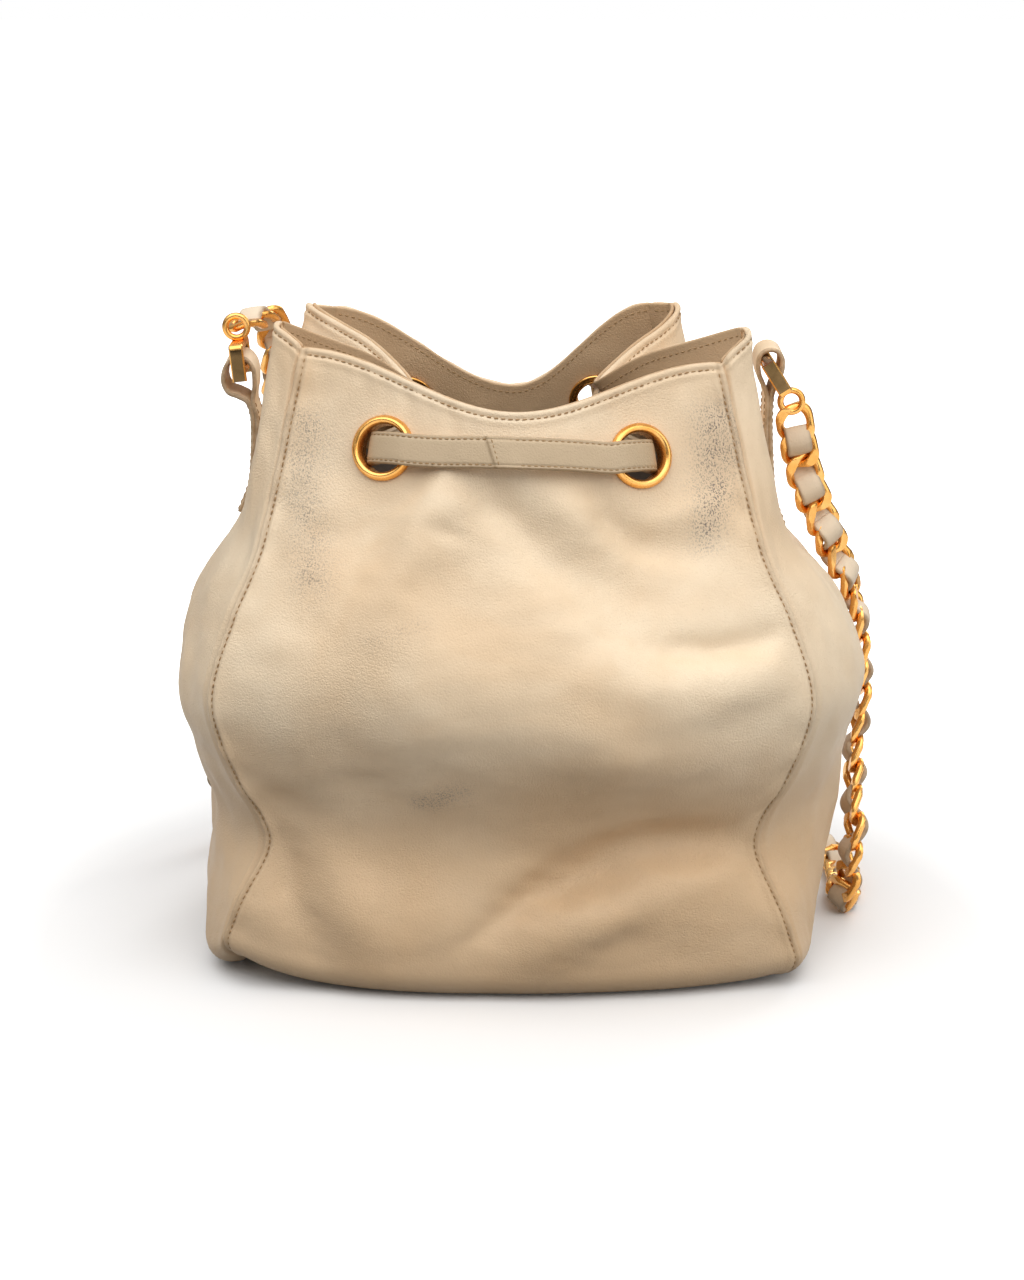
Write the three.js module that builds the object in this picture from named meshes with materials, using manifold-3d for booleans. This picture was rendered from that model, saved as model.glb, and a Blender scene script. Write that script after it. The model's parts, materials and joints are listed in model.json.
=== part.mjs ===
// A soft leather bucket bag: four leather panels on a stiffened base, a lining, eyelets, a drawstring with
// tassel ends, and a chain strap laced with leather that hangs from a metal loop on each side.
// Millimetres. X runs across the bag, -Y is the front, Z is up, and the origin is the middle of the base.
import * as THREE from "three";
import { mergeVertices } from "three/addons/utils/BufferGeometryUtils.js";
import Module from "manifold-3d";

const wasm = await Module();
wasm.setup();

// ---------------------------------------------------------------- driving dimensions
const HEIGHT = 208; // the four top corners above the table
const LEATHER = 1.6;
const LINING = 1.0;
const LINING_DEPTH = 2.0; // from the leather's outer face to the lining's outer face
const ROLL = 10.4; // radius where a wall rolls under the base
const BASE_HALF_X = 95;
const BASE_HALF_Y = 62;
const CORNER_TRIM = 0.05; // share of a gusset left out beside each seam
const EYELET = { x: 40, t: 0.885, bore: 7.5, barrel: 8.2, rim: 10.3, proud: 2.4, sides: 16 };
const EYELET_FLAT = [11.5, 22]; // the leather is flat out to the first radius, and free from the second
const CORD = { width: 10, thick: 2.4 };
const CORD_RISE = 3.2; // the drawstring's middle above its eyelets
const TAB = { width: 15, thick: 3, eye: 2.2, outer: 3.8 };
const BAR_RADIUS = 1.6;
const PLATE = { long: 12, wide: 4, thick: 2.5 };
const EYE = { radius: 3.6, wire: 1.1, drop: 14.5 }; // ring under the loop, its centre below the bar
const LINK_PITCH = 9.3;
const LINKS_PER_RUN = 3;
const RUNS = 13; // chain runs on each side
const CHAIN = { width: 13, thick: 4.4, gap: 1.2, ringGap: 5.8 };
const RUN = LINK_PITCH * LINKS_PER_RUN;
const TASSEL = { cap: 5.5, capLong: 14, fringe: 8, fringeLong: 46 };
const PULL_TAIL = 24; // drawstring held inside the bag beyond each back eyelet

const COLOURS = { leather: 0xd9bf98, lining: 0xb9a184, board: 0x8a6f52, gold: 0xd89a3e };

// ---------------------------------------------------------------- small maths
const clamp = (v, lo, hi) => Math.min(hi, Math.max(lo, v));
const mix = (a, b, k) => a + (b - a) * k;
const V = (x, y, z) => new THREE.Vector3(x, y, z);

function smooth(lo, hi, v) {
  const k = clamp((v - lo) / (hi - lo), 0, 1);
  return k * k * (3 - 2 * k);
}

// A smooth curve through [place, value] knots.
function profile(knots) {
  const slope = (i) => {
    const a = knots[Math.max(i - 1, 0)];
    const b = knots[Math.min(i + 1, knots.length - 1)];
    return (b[1] - a[1]) / (b[0] - a[0]);
  };
  return (t) => {
    let i = 0;
    while (i < knots.length - 2 && t > knots[i + 1][0]) i += 1;
    const [t0, v0] = knots[i];
    const [t1, v1] = knots[i + 1];
    const h = t1 - t0;
    const k = clamp((t - t0) / h, 0, 1);
    const k2 = k * k;
    const k3 = k2 * k;
    const ends = (2 * k3 - 3 * k2 + 1) * v0 + (3 * k2 - 2 * k3) * v1;
    return ends + (k3 - 2 * k2 + k) * h * slope(i) + (k3 - k2) * h * slope(i + 1);
  };
}

// ---------------------------------------------------------------- the bag's shape
// Each profile runs from the base (0) to the rim (1).
const seamX = profile([[0, 97], [0.12, 89], [0.24, 80], [0.36, 90], [0.48, 96], [0.6, 89], [0.69, 81],
  [0.8, 75], [0.89, 71], [1, 66]]);
const seamY = profile([[0, 56], [0.12, 58], [0.24, 53], [0.38, 61], [0.48, 64], [0.6, 60], [0.75, 50],
  [0.88, 43], [1, 38]]);
const crownFront = profile([[0, 14], [0.24, 15], [0.45, 22], [0.65, 21], [0.85, 21], [1, 19]]);
const crownBack = profile([[0, 12], [0.24, 14], [0.45, 18], [0.65, 15], [0.85, 12], [1, 10]]);
const foldOut = {
  1: profile([[0, 3], [0.15, 13], [0.24, 19], [0.36, 17], [0.5, 16], [0.62, 13], [0.72, 8], [0.85, 7],
    [1, 7]]),
  "-1": profile([[0, 6], [0.1, 10], [0.24, 17], [0.36, 13], [0.5, 11], [0.62, 12], [0.72, 8], [0.85, 7],
    [1, 7]]),
};
const foldY = profile([[0, 0.6], [0.6, 0.55], [0.8, 0.68], [1, 0.76]]);
const middleX = {
  1: profile([[0, 97], [0.1, 103], [0.22, 110], [0.35, 114], [0.46, 117], [0.55, 113], [0.62, 103],
    [0.69, 88], [0.76, 74], [0.85, 55], [0.93, 41], [1, 29]]),
  "-1": profile([[0, 98], [0.08, 104], [0.22, 102], [0.34, 103], [0.46, 108], [0.54, 108], [0.62, 103],
    [0.69, 92], [0.76, 79], [0.85, 59], [0.93, 45], [1, 35]]),
};
// How far the rim sags: at the panels' corners and middles, and from the front seam (-1) of each gusset to its
// back seam (1).
const PANEL_SAG = {
  front: { "-1": 2.8, 1: 2.8, middle: 17.6 },
  back: { "-1": 0, 1: -6, middle: 26 },
};
const gussetSag = {
  1: profile([[-1, 2.8], [-0.75, -4], [-0.5, -7.4], [-0.25, 2], [0, 15], [0.25, 3], [0.5, -6], [0.75, -6.5],
    [1, -6]]),
  "-1": profile([[-1, 2.8], [-0.75, -2], [-0.5, -3.7], [-0.25, 5], [0, 17], [0.25, 6], [0.5, -1],
    [0.75, -0.5], [1, 0]]),
};
const SAG_FROM = 0.55;
const LEAN = 0.037; // the rim drops this much per millimetre towards +X
const DRAWN_IN = { "-1": 0.08, 1: 0.28 }; // how far the drawstring pulls in each side of the mouth at the back
const CORNER_LIFT = { "-1": 10, 1: 2.5 }; // how far a front base corner stands off the table

// Height above the table, with the rim's sag and a lifted base corner.
function heightAt(x, t, sag, lift) {
  const rolled = t * HEIGHT < ROLL ? ROLL * (1 - Math.cos((t * HEIGHT * Math.PI) / (2 * ROLL))) : t * HEIGHT;
  const upper = smooth(SAG_FROM, 1, t);
  return rolled - (sag + LEAN * x) * upper + lift * (1 - smooth(0, 0.3, t));
}

// Draws the lowest stretch of a wall in, so that it rolls under the base.
function rollUnder(p, t) {
  const turn = Math.min((t * HEIGHT * Math.PI) / (2 * ROLL), Math.PI / 2);
  const inset = ROLL * (1 - Math.sin(turn));
  return V(p.x * (1 - inset / BASE_HALF_X), p.y * (1 - inset / BASE_HALF_Y), p.z);
}

// Draws the back of the mouth in towards the middle.
function drawIn(p, t) {
  const share = smooth(5, 38, p.y) * smooth(0.5, 1, t);
  return V(p.x * (1 - DRAWN_IN[Math.sign(p.x) || 1] * share), p.y, p.z);
}

// Front (way -1) or back (way 1) panel: a runs -1 to 1 across, t runs 0 to 1 up.
function panelShape(way, a, t) {
  const crown = (way < 0 ? crownFront : crownBack)(t);
  const wave = Math.cos((a * Math.PI) / 2) ** 2;
  const bow = mix(1 - a * a, wave, smooth(0.5, 0.85, t));
  const x = a * seamX(t);
  const hand = Math.sign(a) || 1;
  const lift = way < 0 ? CORNER_LIFT[hand] * Math.abs(a) ** 5 : 0;
  const sag = PANEL_SAG[way < 0 ? "front" : "back"];
  const z = heightAt(x, t, mix(sag[hand], sag.middle, wave), lift);
  return drawIn(rollUnder(V(x, way * (seamY(t) + crown * bow), z), t), t);
}

// Gusset on one side: b runs -1 (front seam) to 1 (back seam). It bulges low down and folds in at the mouth.
function gussetShape(side, b, t) {
  const edge = seamX(t);
  const near = [edge, seamY(t)];
  const fold = [edge + foldOut[side](t), seamY(t) * foldY(t)];
  const middle = [middleX[side](t), 0];
  const knots = [[near[0], -near[1]], [fold[0], -fold[1]], middle, fold, near];
  const points = knots.map(([x, y]) => V(x, y, 0));
  const plan = new THREE.CatmullRomCurve3(points, false, "catmullrom", 0.5).getPoint((b + 1) / 2);
  const x = side * plan.x;
  const lift = b < 0 ? CORNER_LIFT[side] * Math.abs(b) ** 5 : 0;
  const z = heightAt(x, t, gussetSag[side](b), lift);
  return drawIn(rollUnder(V(x, plan.y, z), t), t);
}

// Point and outward normal of a surface f(u, t). sign is 1 where the cross product already points out.
function sample(f, sign, u, t) {
  const e = 1e-3;
  const p = f(u, t);
  const across = f(u + e, t).sub(f(u - e, t));
  const up = f(u, Math.min(t + e, 1)).sub(f(u, Math.max(t - e, 0)));
  return { p, n: across.cross(up).normalize().multiplyScalar(sign), up: up.normalize() };
}

// Each eyelet sits square to the leather, at its own place on the front or back panel.
const eyelets = {};
for (const [face, way] of [["front", -1], ["back", 1]]) {
  for (const [hand, side] of [["left", -1], ["right", 1]]) {
    const a = (side * EYELET.x) / seamX(EYELET.t);
    eyelets[`${face}_${hand}`] = { ...sample((u, t) => panelShape(way, u, t), -way, a, EYELET.t), face, side };
  }
}

// The panel's surface with the leather pulled flat under each eyelet.
function panelPoint(way, a, t) {
  const p = panelShape(way, a, t);
  for (const e of Object.values(eyelets)) {
    const off = p.clone().sub(e.p);
    const share = 1 - smooth(...EYELET_FLAT, off.length());
    p.addScaledVector(e.n, -share * off.dot(e.n));
  }
  return p;
}

const surfaces = {
  front: { f: (a, t) => panelPoint(-1, a, t), sign: 1 },
  back: { f: (a, t) => panelPoint(1, a, t), sign: -1 },
  left: { f: (b, t) => gussetShape(-1, b, t), sign: -1 },
  right: { f: (b, t) => gussetShape(1, b, t), sign: 1 },
};

// ---------------------------------------------------------------- solids
function geometryOf(points, faces) {
  const g = new THREE.BufferGeometry();
  g.setAttribute("position", new THREE.Float32BufferAttribute(points.flatMap((p) => [p.x, p.y, p.z]), 3));
  g.setIndex(faces);
  return g;
}

function solidOf(geometry) {
  const g = geometry.clone();
  g.deleteAttribute("normal");
  g.deleteAttribute("uv");
  const merged = mergeVertices(g, 1e-4);
  const triVerts = new Uint32Array(merged.index.array);
  const vertProperties = merged.attributes.position.array;
  return new wasm.Manifold(new wasm.Mesh({ numProp: 3, vertProperties, triVerts }));
}

function geometryFrom(solid) {
  const m = solid.getMesh();
  const g = new THREE.BufferGeometry();
  g.setAttribute("position", new THREE.BufferAttribute(new Float32Array(m.vertProperties), 3));
  g.setIndex(new THREE.BufferAttribute(new Uint32Array(m.triVerts), 1));
  return g;
}

function placed(geometry, position, quaternion = new THREE.Quaternion()) {
  return geometry.clone().applyQuaternion(quaternion).translate(position.x, position.y, position.z);
}

// A closed sheet between two depths under a surface, on a grid of places across (us) and up (ts).
function sheet({ f, sign }, us, ts, outer, thickness) {
  const points = [];
  for (const depth of [outer, outer + thickness]) {
    for (const t of ts) {
      for (const u of us) {
        const s = sample(f, sign, u, t);
        points.push(s.p.addScaledVector(s.n, -depth));
      }
    }
  }
  const nu = us.length - 1;
  const nt = ts.length - 1;
  const layer = us.length * ts.length;
  const at = (i, j, k) => k * layer + j * us.length + i;
  const faces = [];
  const quad = (a, b, c, d) => faces.push(a, b, c, a, c, d);
  for (let j = 0; j < nt; j += 1) {
    for (let i = 0; i < nu; i += 1) {
      quad(at(i, j, 0), at(i + 1, j, 0), at(i + 1, j + 1, 0), at(i, j + 1, 0));
      quad(at(i, j, 1), at(i, j + 1, 1), at(i + 1, j + 1, 1), at(i + 1, j, 1));
    }
  }
  for (let i = 0; i < nu; i += 1) {
    quad(at(i + 1, 0, 0), at(i, 0, 0), at(i, 0, 1), at(i + 1, 0, 1));
    quad(at(i, nt, 0), at(i + 1, nt, 0), at(i + 1, nt, 1), at(i, nt, 1));
  }
  for (let j = 0; j < nt; j += 1) {
    quad(at(0, j, 0), at(0, j + 1, 0), at(0, j + 1, 1), at(0, j, 1));
    quad(at(nu, j + 1, 0), at(nu, j, 0), at(nu, j, 1), at(nu, j + 1, 1));
  }
  if (sign < 0) faces.reverse();
  return geometryOf(points, faces);
}

// A flat strap through stations { p, wide, out }: wide runs across it and out is its face normal.
function strap(stations, width, thickness) {
  const points = stations.flatMap(({ p, wide, out }) =>
    [[-1, -1], [1, -1], [1, 1], [-1, 1]].map(([w, h]) =>
      p.clone().addScaledVector(wide, (w * width) / 2).addScaledVector(out, (h * thickness) / 2)));
  const faces = [0, 1, 2, 0, 2, 3];
  for (let s = 0; s < stations.length - 1; s += 1) {
    for (let c = 0; c < 4; c += 1) {
      const [a, b] = [4 * s + c, 4 * s + ((c + 1) % 4)];
      faces.push(a, a + 4, b + 4, a, b + 4, b);
    }
  }
  const last = 4 * (stations.length - 1);
  faces.push(last, last + 2, last + 1, last, last + 3, last + 2);
  const g = geometryOf(points, faces);
  return facingOut(g);
}

// The same closed geometry with its faces turned to point out.
function facingOut(g) {
  if (solidOf(g).volume() < 0) g.index.array.reverse();
  return g;
}

// Turns each station's out direction so that it is square to the strap's own path.
function stationsAlong(points, wides) {
  return points.map((p, i) => {
    const ahead = points[Math.min(i + 1, points.length - 1)];
    const behind = points[Math.max(i - 1, 0)];
    const along = ahead.clone().sub(behind).normalize();
    const out = along.clone().cross(wides[i]).normalize();
    return { p, wide: out.clone().cross(along).normalize(), out };
  });
}

function turned(profilePoints, segments) {
  const points = profilePoints.map(([r, y]) => new THREE.Vector2(r, y));
  return facingOut(new THREE.LatheGeometry(points, segments));
}

const group = new THREE.Group();

function add(name, geometry, colour, { rough = 0.6, metal = 0 } = {}, parent = group) {
  const material = new THREE.MeshStandardMaterial({ color: colour, roughness: rough, metalness: metal });
  const mesh = new THREE.Mesh(geometry, material);
  mesh.name = name;
  parent.add(mesh);
  return mesh;
}
const GOLD = { rough: 0.25, metal: 1 };
const UP = V(0, 0, 1);
const ALONG_Y = V(0, 1, 0);

// ---------------------------------------------------------------- leather panels and lining
// What each eyelet needs clear: a hole for its barrel, and the space for its rim and its washer.
function eyeletSpace(e) {
  const hole = EYELET.barrel + 0.4;
  const around = EYELET.rim + 0.5;
  const space = turned([[0, -9], [around, -9], [around, -3.2], [hole, -3.2], [hole, 0.05], [around, 0.05],
    [around, 6], [0, 6]], EYELET.sides);
  return solidOf(placed(space, e.p, new THREE.Quaternion().setFromUnitVectors(ALONG_Y, e.n)));
}

function pierced(geometry, face) {
  let solid = solidOf(geometry);
  for (const e of Object.values(eyelets)) {
    if (e.face === face) solid = solid.subtract(eyeletSpace(e));
  }
  return geometryFrom(solid);
}

// Evenly spaced places from one value to another.
const evenly = (from, to, steps) => Array.from({ length: steps + 1 }, (_, i) => mix(from, to, i / steps));

// Rows up a wall: close together round the roll under the base, then evenly spaced to the rim.
const ROLL_END = ROLL / HEIGHT;
const ROWS = [...evenly(0, ROLL_END, 3), ...evenly(ROLL_END, 1, 12).slice(1)];
const LINING_ROWS = [...ROWS.slice(4, -1), 0.985];

function buildPanels() {
  const panelPlaces = evenly(-1, 1, 16);
  const gussetPlaces = evenly(CORNER_TRIM - 1, 1 - CORNER_TRIM, 16);
  for (const [name, places] of [["front", panelPlaces], ["back", panelPlaces], ["left", gussetPlaces],
    ["right", gussetPlaces]]) {
    const isPanel = places === panelPlaces;
    const outer = sheet(surfaces[name], places, ROWS, 0, LEATHER);
    const inner = sheet(surfaces[name], places.slice(1, -1), LINING_ROWS, LINING_DEPTH, LINING);
    add(isPanel ? `${name}_panel` : `gusset_${name}`, isPanel ? pierced(outer, name) : outer, COLOURS.leather);
    add(`lining_${name}`, isPanel ? pierced(inner, name) : inner, COLOURS.lining, { rough: 0.8 });
  }
}

// The loop that the four walls leave open underneath, scaled in by a share, as a flat plate.
function basePlate(share, z, thickness) {
  const shape = new THREE.Shape();
  const quarter = 5;
  const edge = [];
  for (let i = -quarter; i < quarter; i += 1) edge.push(panelShape(-1, i / quarter, 0));
  for (let i = -quarter; i < quarter; i += 1) edge.push(gussetShape(1, i / quarter, 0));
  for (let i = quarter; i > -quarter; i -= 1) edge.push(panelShape(1, i / quarter, 0));
  for (let i = quarter; i > -quarter; i -= 1) edge.push(gussetShape(-1, i / quarter, 0));
  edge.forEach((p, i) => shape[i ? "lineTo" : "moveTo"](p.x * share, p.y * share));
  return new THREE.ExtrudeGeometry(shape, { depth: thickness, bevelEnabled: false }).translate(0, 0, z);
}

function buildBase() {
  add("base_panel", basePlate(0.985, 0, 1.8), COLOURS.leather);
  add("base_board", basePlate(0.93, 2.2, 2.2), COLOURS.board, { rough: 0.9 });
  add("lining_base", basePlate(0.9, 4.8, LINING), COLOURS.lining, { rough: 0.8 });
}

// ---------------------------------------------------------------- eyelets
function buildEyelets() {
  const { bore, barrel, rim, proud } = EYELET;
  const front = turned([[bore, -4.6], [barrel, -4.6], [barrel, 0.35], [rim, 0.35], [rim, 1.1],
    [(rim + bore) / 2 + 0.4, proud], [bore + 0.4, 1.9], [bore, 0.8], [bore, -4.6]], EYELET.sides);
  const washer = turned([[barrel + 0.4, -4.4], [rim, -4.4], [rim, -3.5], [barrel + 0.4, -3.5],
    [barrel + 0.4, -4.4]], EYELET.sides);
  for (const [name, e] of Object.entries(eyelets)) {
    const turn = new THREE.Quaternion().setFromUnitVectors(ALONG_Y, e.n);
    add(`eyelet_${name}`, placed(front, e.p, turn), COLOURS.gold, GOLD);
    add(`eyelet_washer_${name}`, placed(washer, e.p, turn), COLOURS.gold, GOLD);
  }
}

// ---------------------------------------------------------------- drawstring and tassels
// A point beside an eyelet: in towards the bag's middle, and out along its normal.
function beside(e, inwards, out) {
  const across = e.up.clone().cross(e.n).normalize();
  if (across.x * e.side > 0) across.negate();
  return e.p.clone().addScaledVector(across, inwards).addScaledVector(e.n, out);
}

function buildDrawstring(hand, side) {
  const front = eyelets[`front_${hand}`];
  const back = eyelets[`back_${hand}`];
  const lift = EYELET.proud + CORD.thick / 2;
  const level = (eyelets.front_left.p.z + eyelets.front_right.p.z) / 2;
  const onPanel = (x) => {
    const s = sample((a, t) => panelShape(-1, a, t), 1, (side * x) / seamX(EYELET.t), EYELET.t);
    return s.p.addScaledVector(s.n, CORD.thick / 2 + 1.6).setZ(mix(level + CORD_RISE, front.p.z, x / EYELET.x));
  };
  const points = [onPanel(0.4), onPanel(10), onPanel(20), beside(front, 12, lift + 0.8),
    beside(front, 6.8, lift + 0.9), beside(front, 1, 2.2), beside(front, -3.4, -1.5), beside(front, -4.8, -8),
    V(side * 34, -15, front.p.z - 3), V(side * 33, 2, front.p.z - 4), beside(back, 0, -PULL_TAIL - 5),
    beside(back, 0, -PULL_TAIL - 1)];
  const wides = points.map((_, i) => (i < 8 ? front.up.clone() : i < 10 ? UP.clone() : back.up.clone()));
  add(`drawstring_${hand}`, strap(stationsAlong(points, wides), CORD.width, CORD.thick), COLOURS.leather);

  const stub = [beside(back, 0, -PULL_TAIL), beside(back, 0, 15)];
  const pulled = strap(stationsAlong(stub, [back.up, back.up]), CORD.width, CORD.thick);
  add(`drawstring_pull_${hand}`, pulled, COLOURS.leather);
  buildTassel(hand, side, beside(back, 0, 16.2), back);
}

function buildTassel(hand, side, from, back) {
  const resting = sample((a, t) => panelShape(1, a, t), -1, (side * 41) / seamX(0.56), 0.56);
  const to = resting.p.clone().addScaledVector(resting.n, 14);
  const down = to.clone().sub(from).normalize();
  const across = back.up.clone().cross(back.n).normalize();
  const points = [from.clone().addScaledVector(down, 0.4), to.clone().addScaledVector(down, -0.8)];
  const tail = stationsAlong(points, [across, across]);
  add(`drawstring_tail_${hand}`, strap(tail, CORD.width, CORD.thick), COLOURS.leather);

  const { cap, capLong, fringe, fringeLong } = TASSEL;
  const quarterTurn = new THREE.Quaternion().setFromUnitVectors(ALONG_Y, V(0, 0, -1));
  const head = turned([[0, 0.4], [cap * 0.6, 0.4], [cap, 3], [cap, capLong], [0, capLong]], 14);
  add(`tassel_cap_${hand}`, placed(head, to, quarterTurn), COLOURS.leather);
  const top = capLong + 0.4;
  const skirt = turned([[0, top], [cap * 0.9, top], [fringe * 0.9, top + fringeLong * 0.4],
    [fringe, top + fringeLong], [0, top + fringeLong]], 14);
  add(`tassel_fringe_${hand}`, placed(skirt, to, quarterTurn), COLOURS.leather);
}

// ---------------------------------------------------------------- tabs, loops and chain
// Bar centre of each loop, its swing from straight down, where the tab's foot is sewn to the gusset, and over
// which share of the chain it turns flat to land on the table.
const HANGERS = {
  right: { side: 1, bar: V(84, 0, 196), swing: 33, foot: [[89.2, 143], [85.6, 154], [84, 173]],
    landing: [0.42, 0.62] },
  left: { side: -1, bar: V(-88.5, 0, 194), swing: 174, foot: [[-89.2, 148], [-85.2, 159], [-84, 177]],
    landing: [0.6, 0.72] },
};

function buildTab(hand) {
  const { bar, foot } = HANGERS[hand];
  const points = [...foot.map(([x, z]) => V(x, 0, z)), V(bar.x, 0, bar.z - TAB.eye - 0.6)];
  const tail = strap(stationsAlong(points, points.map(() => ALONG_Y.clone())), TAB.width, TAB.thick);
  const half = TAB.width / 2;
  const ring = turned([[TAB.eye, -half], [TAB.outer, -half], [TAB.outer, half], [TAB.eye, half],
    [TAB.eye, -half]], 14);
  const eye = turned([[0, -half - 1], [TAB.eye, -half - 1], [TAB.eye, half + 1], [0, half + 1]], 14);
  const body = solidOf(tail).add(solidOf(placed(ring, bar))).subtract(solidOf(placed(eye, bar)));
  add(`strap_tab_${hand}`, geometryFrom(body), COLOURS.leather);
}

function buildLoop(hand) {
  const { bar, swing, side } = HANGERS[hand];
  const { long, wide, thick } = PLATE;
  const reach = TAB.width / 2 + 1;
  const box = (x, y, z, at) => solidOf(new THREE.BoxGeometry(x, y, z).translate(at.x, at.y, at.z));
  const rod = new THREE.CylinderGeometry(BAR_RADIUS, BAR_RADIUS, 2 * reach + thick, 10);
  const foot = BAR_RADIUS + 0.4 - long;
  let body = solidOf(rod);
  for (const y of [-1, 1]) {
    body = body.add(box(wide, thick, long, V(0, y * (reach + thick / 2), foot + long / 2)));
  }
  body = body.add(box(wide, 2 * reach + thick, 2.2, V(0, 0, foot + 1.1)));
  const ring = new THREE.TorusGeometry(EYE.radius, EYE.wire, 6, 14);
  ring.rotateX(Math.PI / 2).translate(0, 0, -EYE.drop);
  body = body.add(solidOf(ring));
  const turn = new THREE.Quaternion().setFromAxisAngle(ALONG_Y, (-side * swing * Math.PI) / 180);
  add(`strap_loop_${hand}`, placed(geometryFrom(body), bar, turn), COLOURS.gold, GOLD);
  return V(0, 0, -EYE.drop).applyQuaternion(turn).add(bar);
}

// Where each half of the strap lies: down beside the bag, then along the table behind it.
const DRAPE = {
  right: [V(96.5, 6, 162), V(107, 15, 136), V(118, 24, 111), V(121.5, 27, 86), V(119.5, 24, 60), V(119, 12, 38),
    V(117, 1, 20), V(115, 1, 8), V(116, 14, 3.4), V(120, 44, 3), V(115, 77, 3), V(94, 100, 3), V(68, 108, 3),
    V(40, 108, 3), V(10, 105, 3)],
  left: [V(-83, 12, 213), V(-81.5, 26, 207), V(-80.5, 38, 188), V(-81, 46, 170), V(-88, 56, 146),
    V(-98, 69, 116), V(-102, 79, 80), V(-104, 81, 46), V(-109, 81, 24), V(-107, 86, 8), V(-92, 94, 3.2),
    V(-62, 101, 3), V(-30, 104, 3), V(0, 105, 3), V(30, 106, 3), V(60, 106, 3)],
};

// Joint points one run apart along a curve, by walking until the chord is long enough.
function jointPoints(from, knots) {
  const curve = new THREE.CatmullRomCurve3([from, ...knots], false, "centripetal");
  const points = [from];
  const steps = 4000;
  for (let i = 1; i <= steps && points.length <= RUNS; i += 1) {
    const p = curve.getPoint(i / steps);
    if (p.distanceTo(points[points.length - 1]) >= RUN) points.push(p);
  }
  return points;
}

// The chain's broad face looks forward or up at the loop, out from the bag lower down, and lies flat on the
// table. The left half folds under as it lands, so it lies with that face down.
function chainFace({ side, landing }, share) {
  const start = side > 0 ? V(0, -1, 0) : UP;
  const turnOut = smooth(0.05, 0.3, share);
  const layFlat = smooth(...landing, share);
  const onTable = V(0, 0, side);
  return start.clone().lerp(V(side, 0.15, 0), turnOut).normalize().lerp(onTable, layFlat).normalize();
}

function runGeometry(from, to) {
  const half = CHAIN.width / 2;
  const bevel = 1.5;
  const shape = new THREE.Shape();
  const r = half - bevel;
  shape.absarc(from + half, 0, r, Math.PI / 2, (3 * Math.PI) / 2);
  shape.absarc(to - half, 0, r, -Math.PI / 2, Math.PI / 2);
  shape.closePath();
  const options = { depth: CHAIN.thick - 2 * bevel, bevelThickness: bevel, bevelSize: bevel,
    bevelSegments: 1, curveSegments: 2 };
  return new THREE.ExtrudeGeometry(shape, options).translate(0, 0, bevel - CHAIN.thick / 2);
}

function buildChain(hand, ringCentre) {
  const joints = jointPoints(ringCentre, DRAPE[hand]);
  for (let i = 0; i < RUNS; i += 1) {
    const along = joints[i + 1].clone().sub(joints[i]);
    const length = along.length();
    along.normalize();
    const face = chainFace(HANGERS[hand], (i + 0.5) / RUNS);
    const across = face.clone().cross(along).normalize();
    face.crossVectors(along, across);
    const mesh = add(`chain_${hand}_${String(i + 1).padStart(2, "0")}`,
      runGeometry(i ? CHAIN.gap : CHAIN.ringGap, length - CHAIN.gap), COLOURS.gold, GOLD);
    mesh.quaternion.setFromRotationMatrix(new THREE.Matrix4().makeBasis(along, across, face));
    mesh.position.copy(joints[i]);
  }
}

buildPanels();
buildBase();
buildEyelets();
for (const [hand, { side }] of Object.entries(HANGERS)) {
  buildDrawstring(hand, side);
  buildTab(hand);
  buildChain(hand, buildLoop(hand));
}

export default group;
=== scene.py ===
"""A soft leather bucket bag with a drawstring and a laced chain strap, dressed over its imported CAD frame.

Shapes are worked out in millimetres and made in metres. X runs across the bag, -Y is its front, Z is up.
"""
import json
import math
from functools import partial

import bpy
import numpy as np
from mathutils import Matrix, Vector


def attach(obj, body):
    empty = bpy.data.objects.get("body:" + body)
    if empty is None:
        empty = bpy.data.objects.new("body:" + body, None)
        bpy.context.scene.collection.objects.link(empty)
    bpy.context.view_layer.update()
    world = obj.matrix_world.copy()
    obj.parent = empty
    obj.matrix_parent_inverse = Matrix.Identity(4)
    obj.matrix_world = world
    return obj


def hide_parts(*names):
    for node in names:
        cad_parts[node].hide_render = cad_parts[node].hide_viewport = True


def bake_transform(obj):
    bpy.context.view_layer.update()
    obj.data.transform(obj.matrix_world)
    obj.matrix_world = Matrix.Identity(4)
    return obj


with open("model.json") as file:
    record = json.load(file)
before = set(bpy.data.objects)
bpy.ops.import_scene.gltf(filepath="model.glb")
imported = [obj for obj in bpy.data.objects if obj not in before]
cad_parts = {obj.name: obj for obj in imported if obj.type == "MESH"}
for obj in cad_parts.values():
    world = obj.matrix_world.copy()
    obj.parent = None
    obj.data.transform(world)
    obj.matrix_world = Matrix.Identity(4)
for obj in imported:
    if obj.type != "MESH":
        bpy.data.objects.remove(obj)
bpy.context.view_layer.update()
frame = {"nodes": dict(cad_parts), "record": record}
MM = 0.001
PANELS = {"front": -1, "back": 1}
HANDS = {"left": -1, "right": 1}

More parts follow.
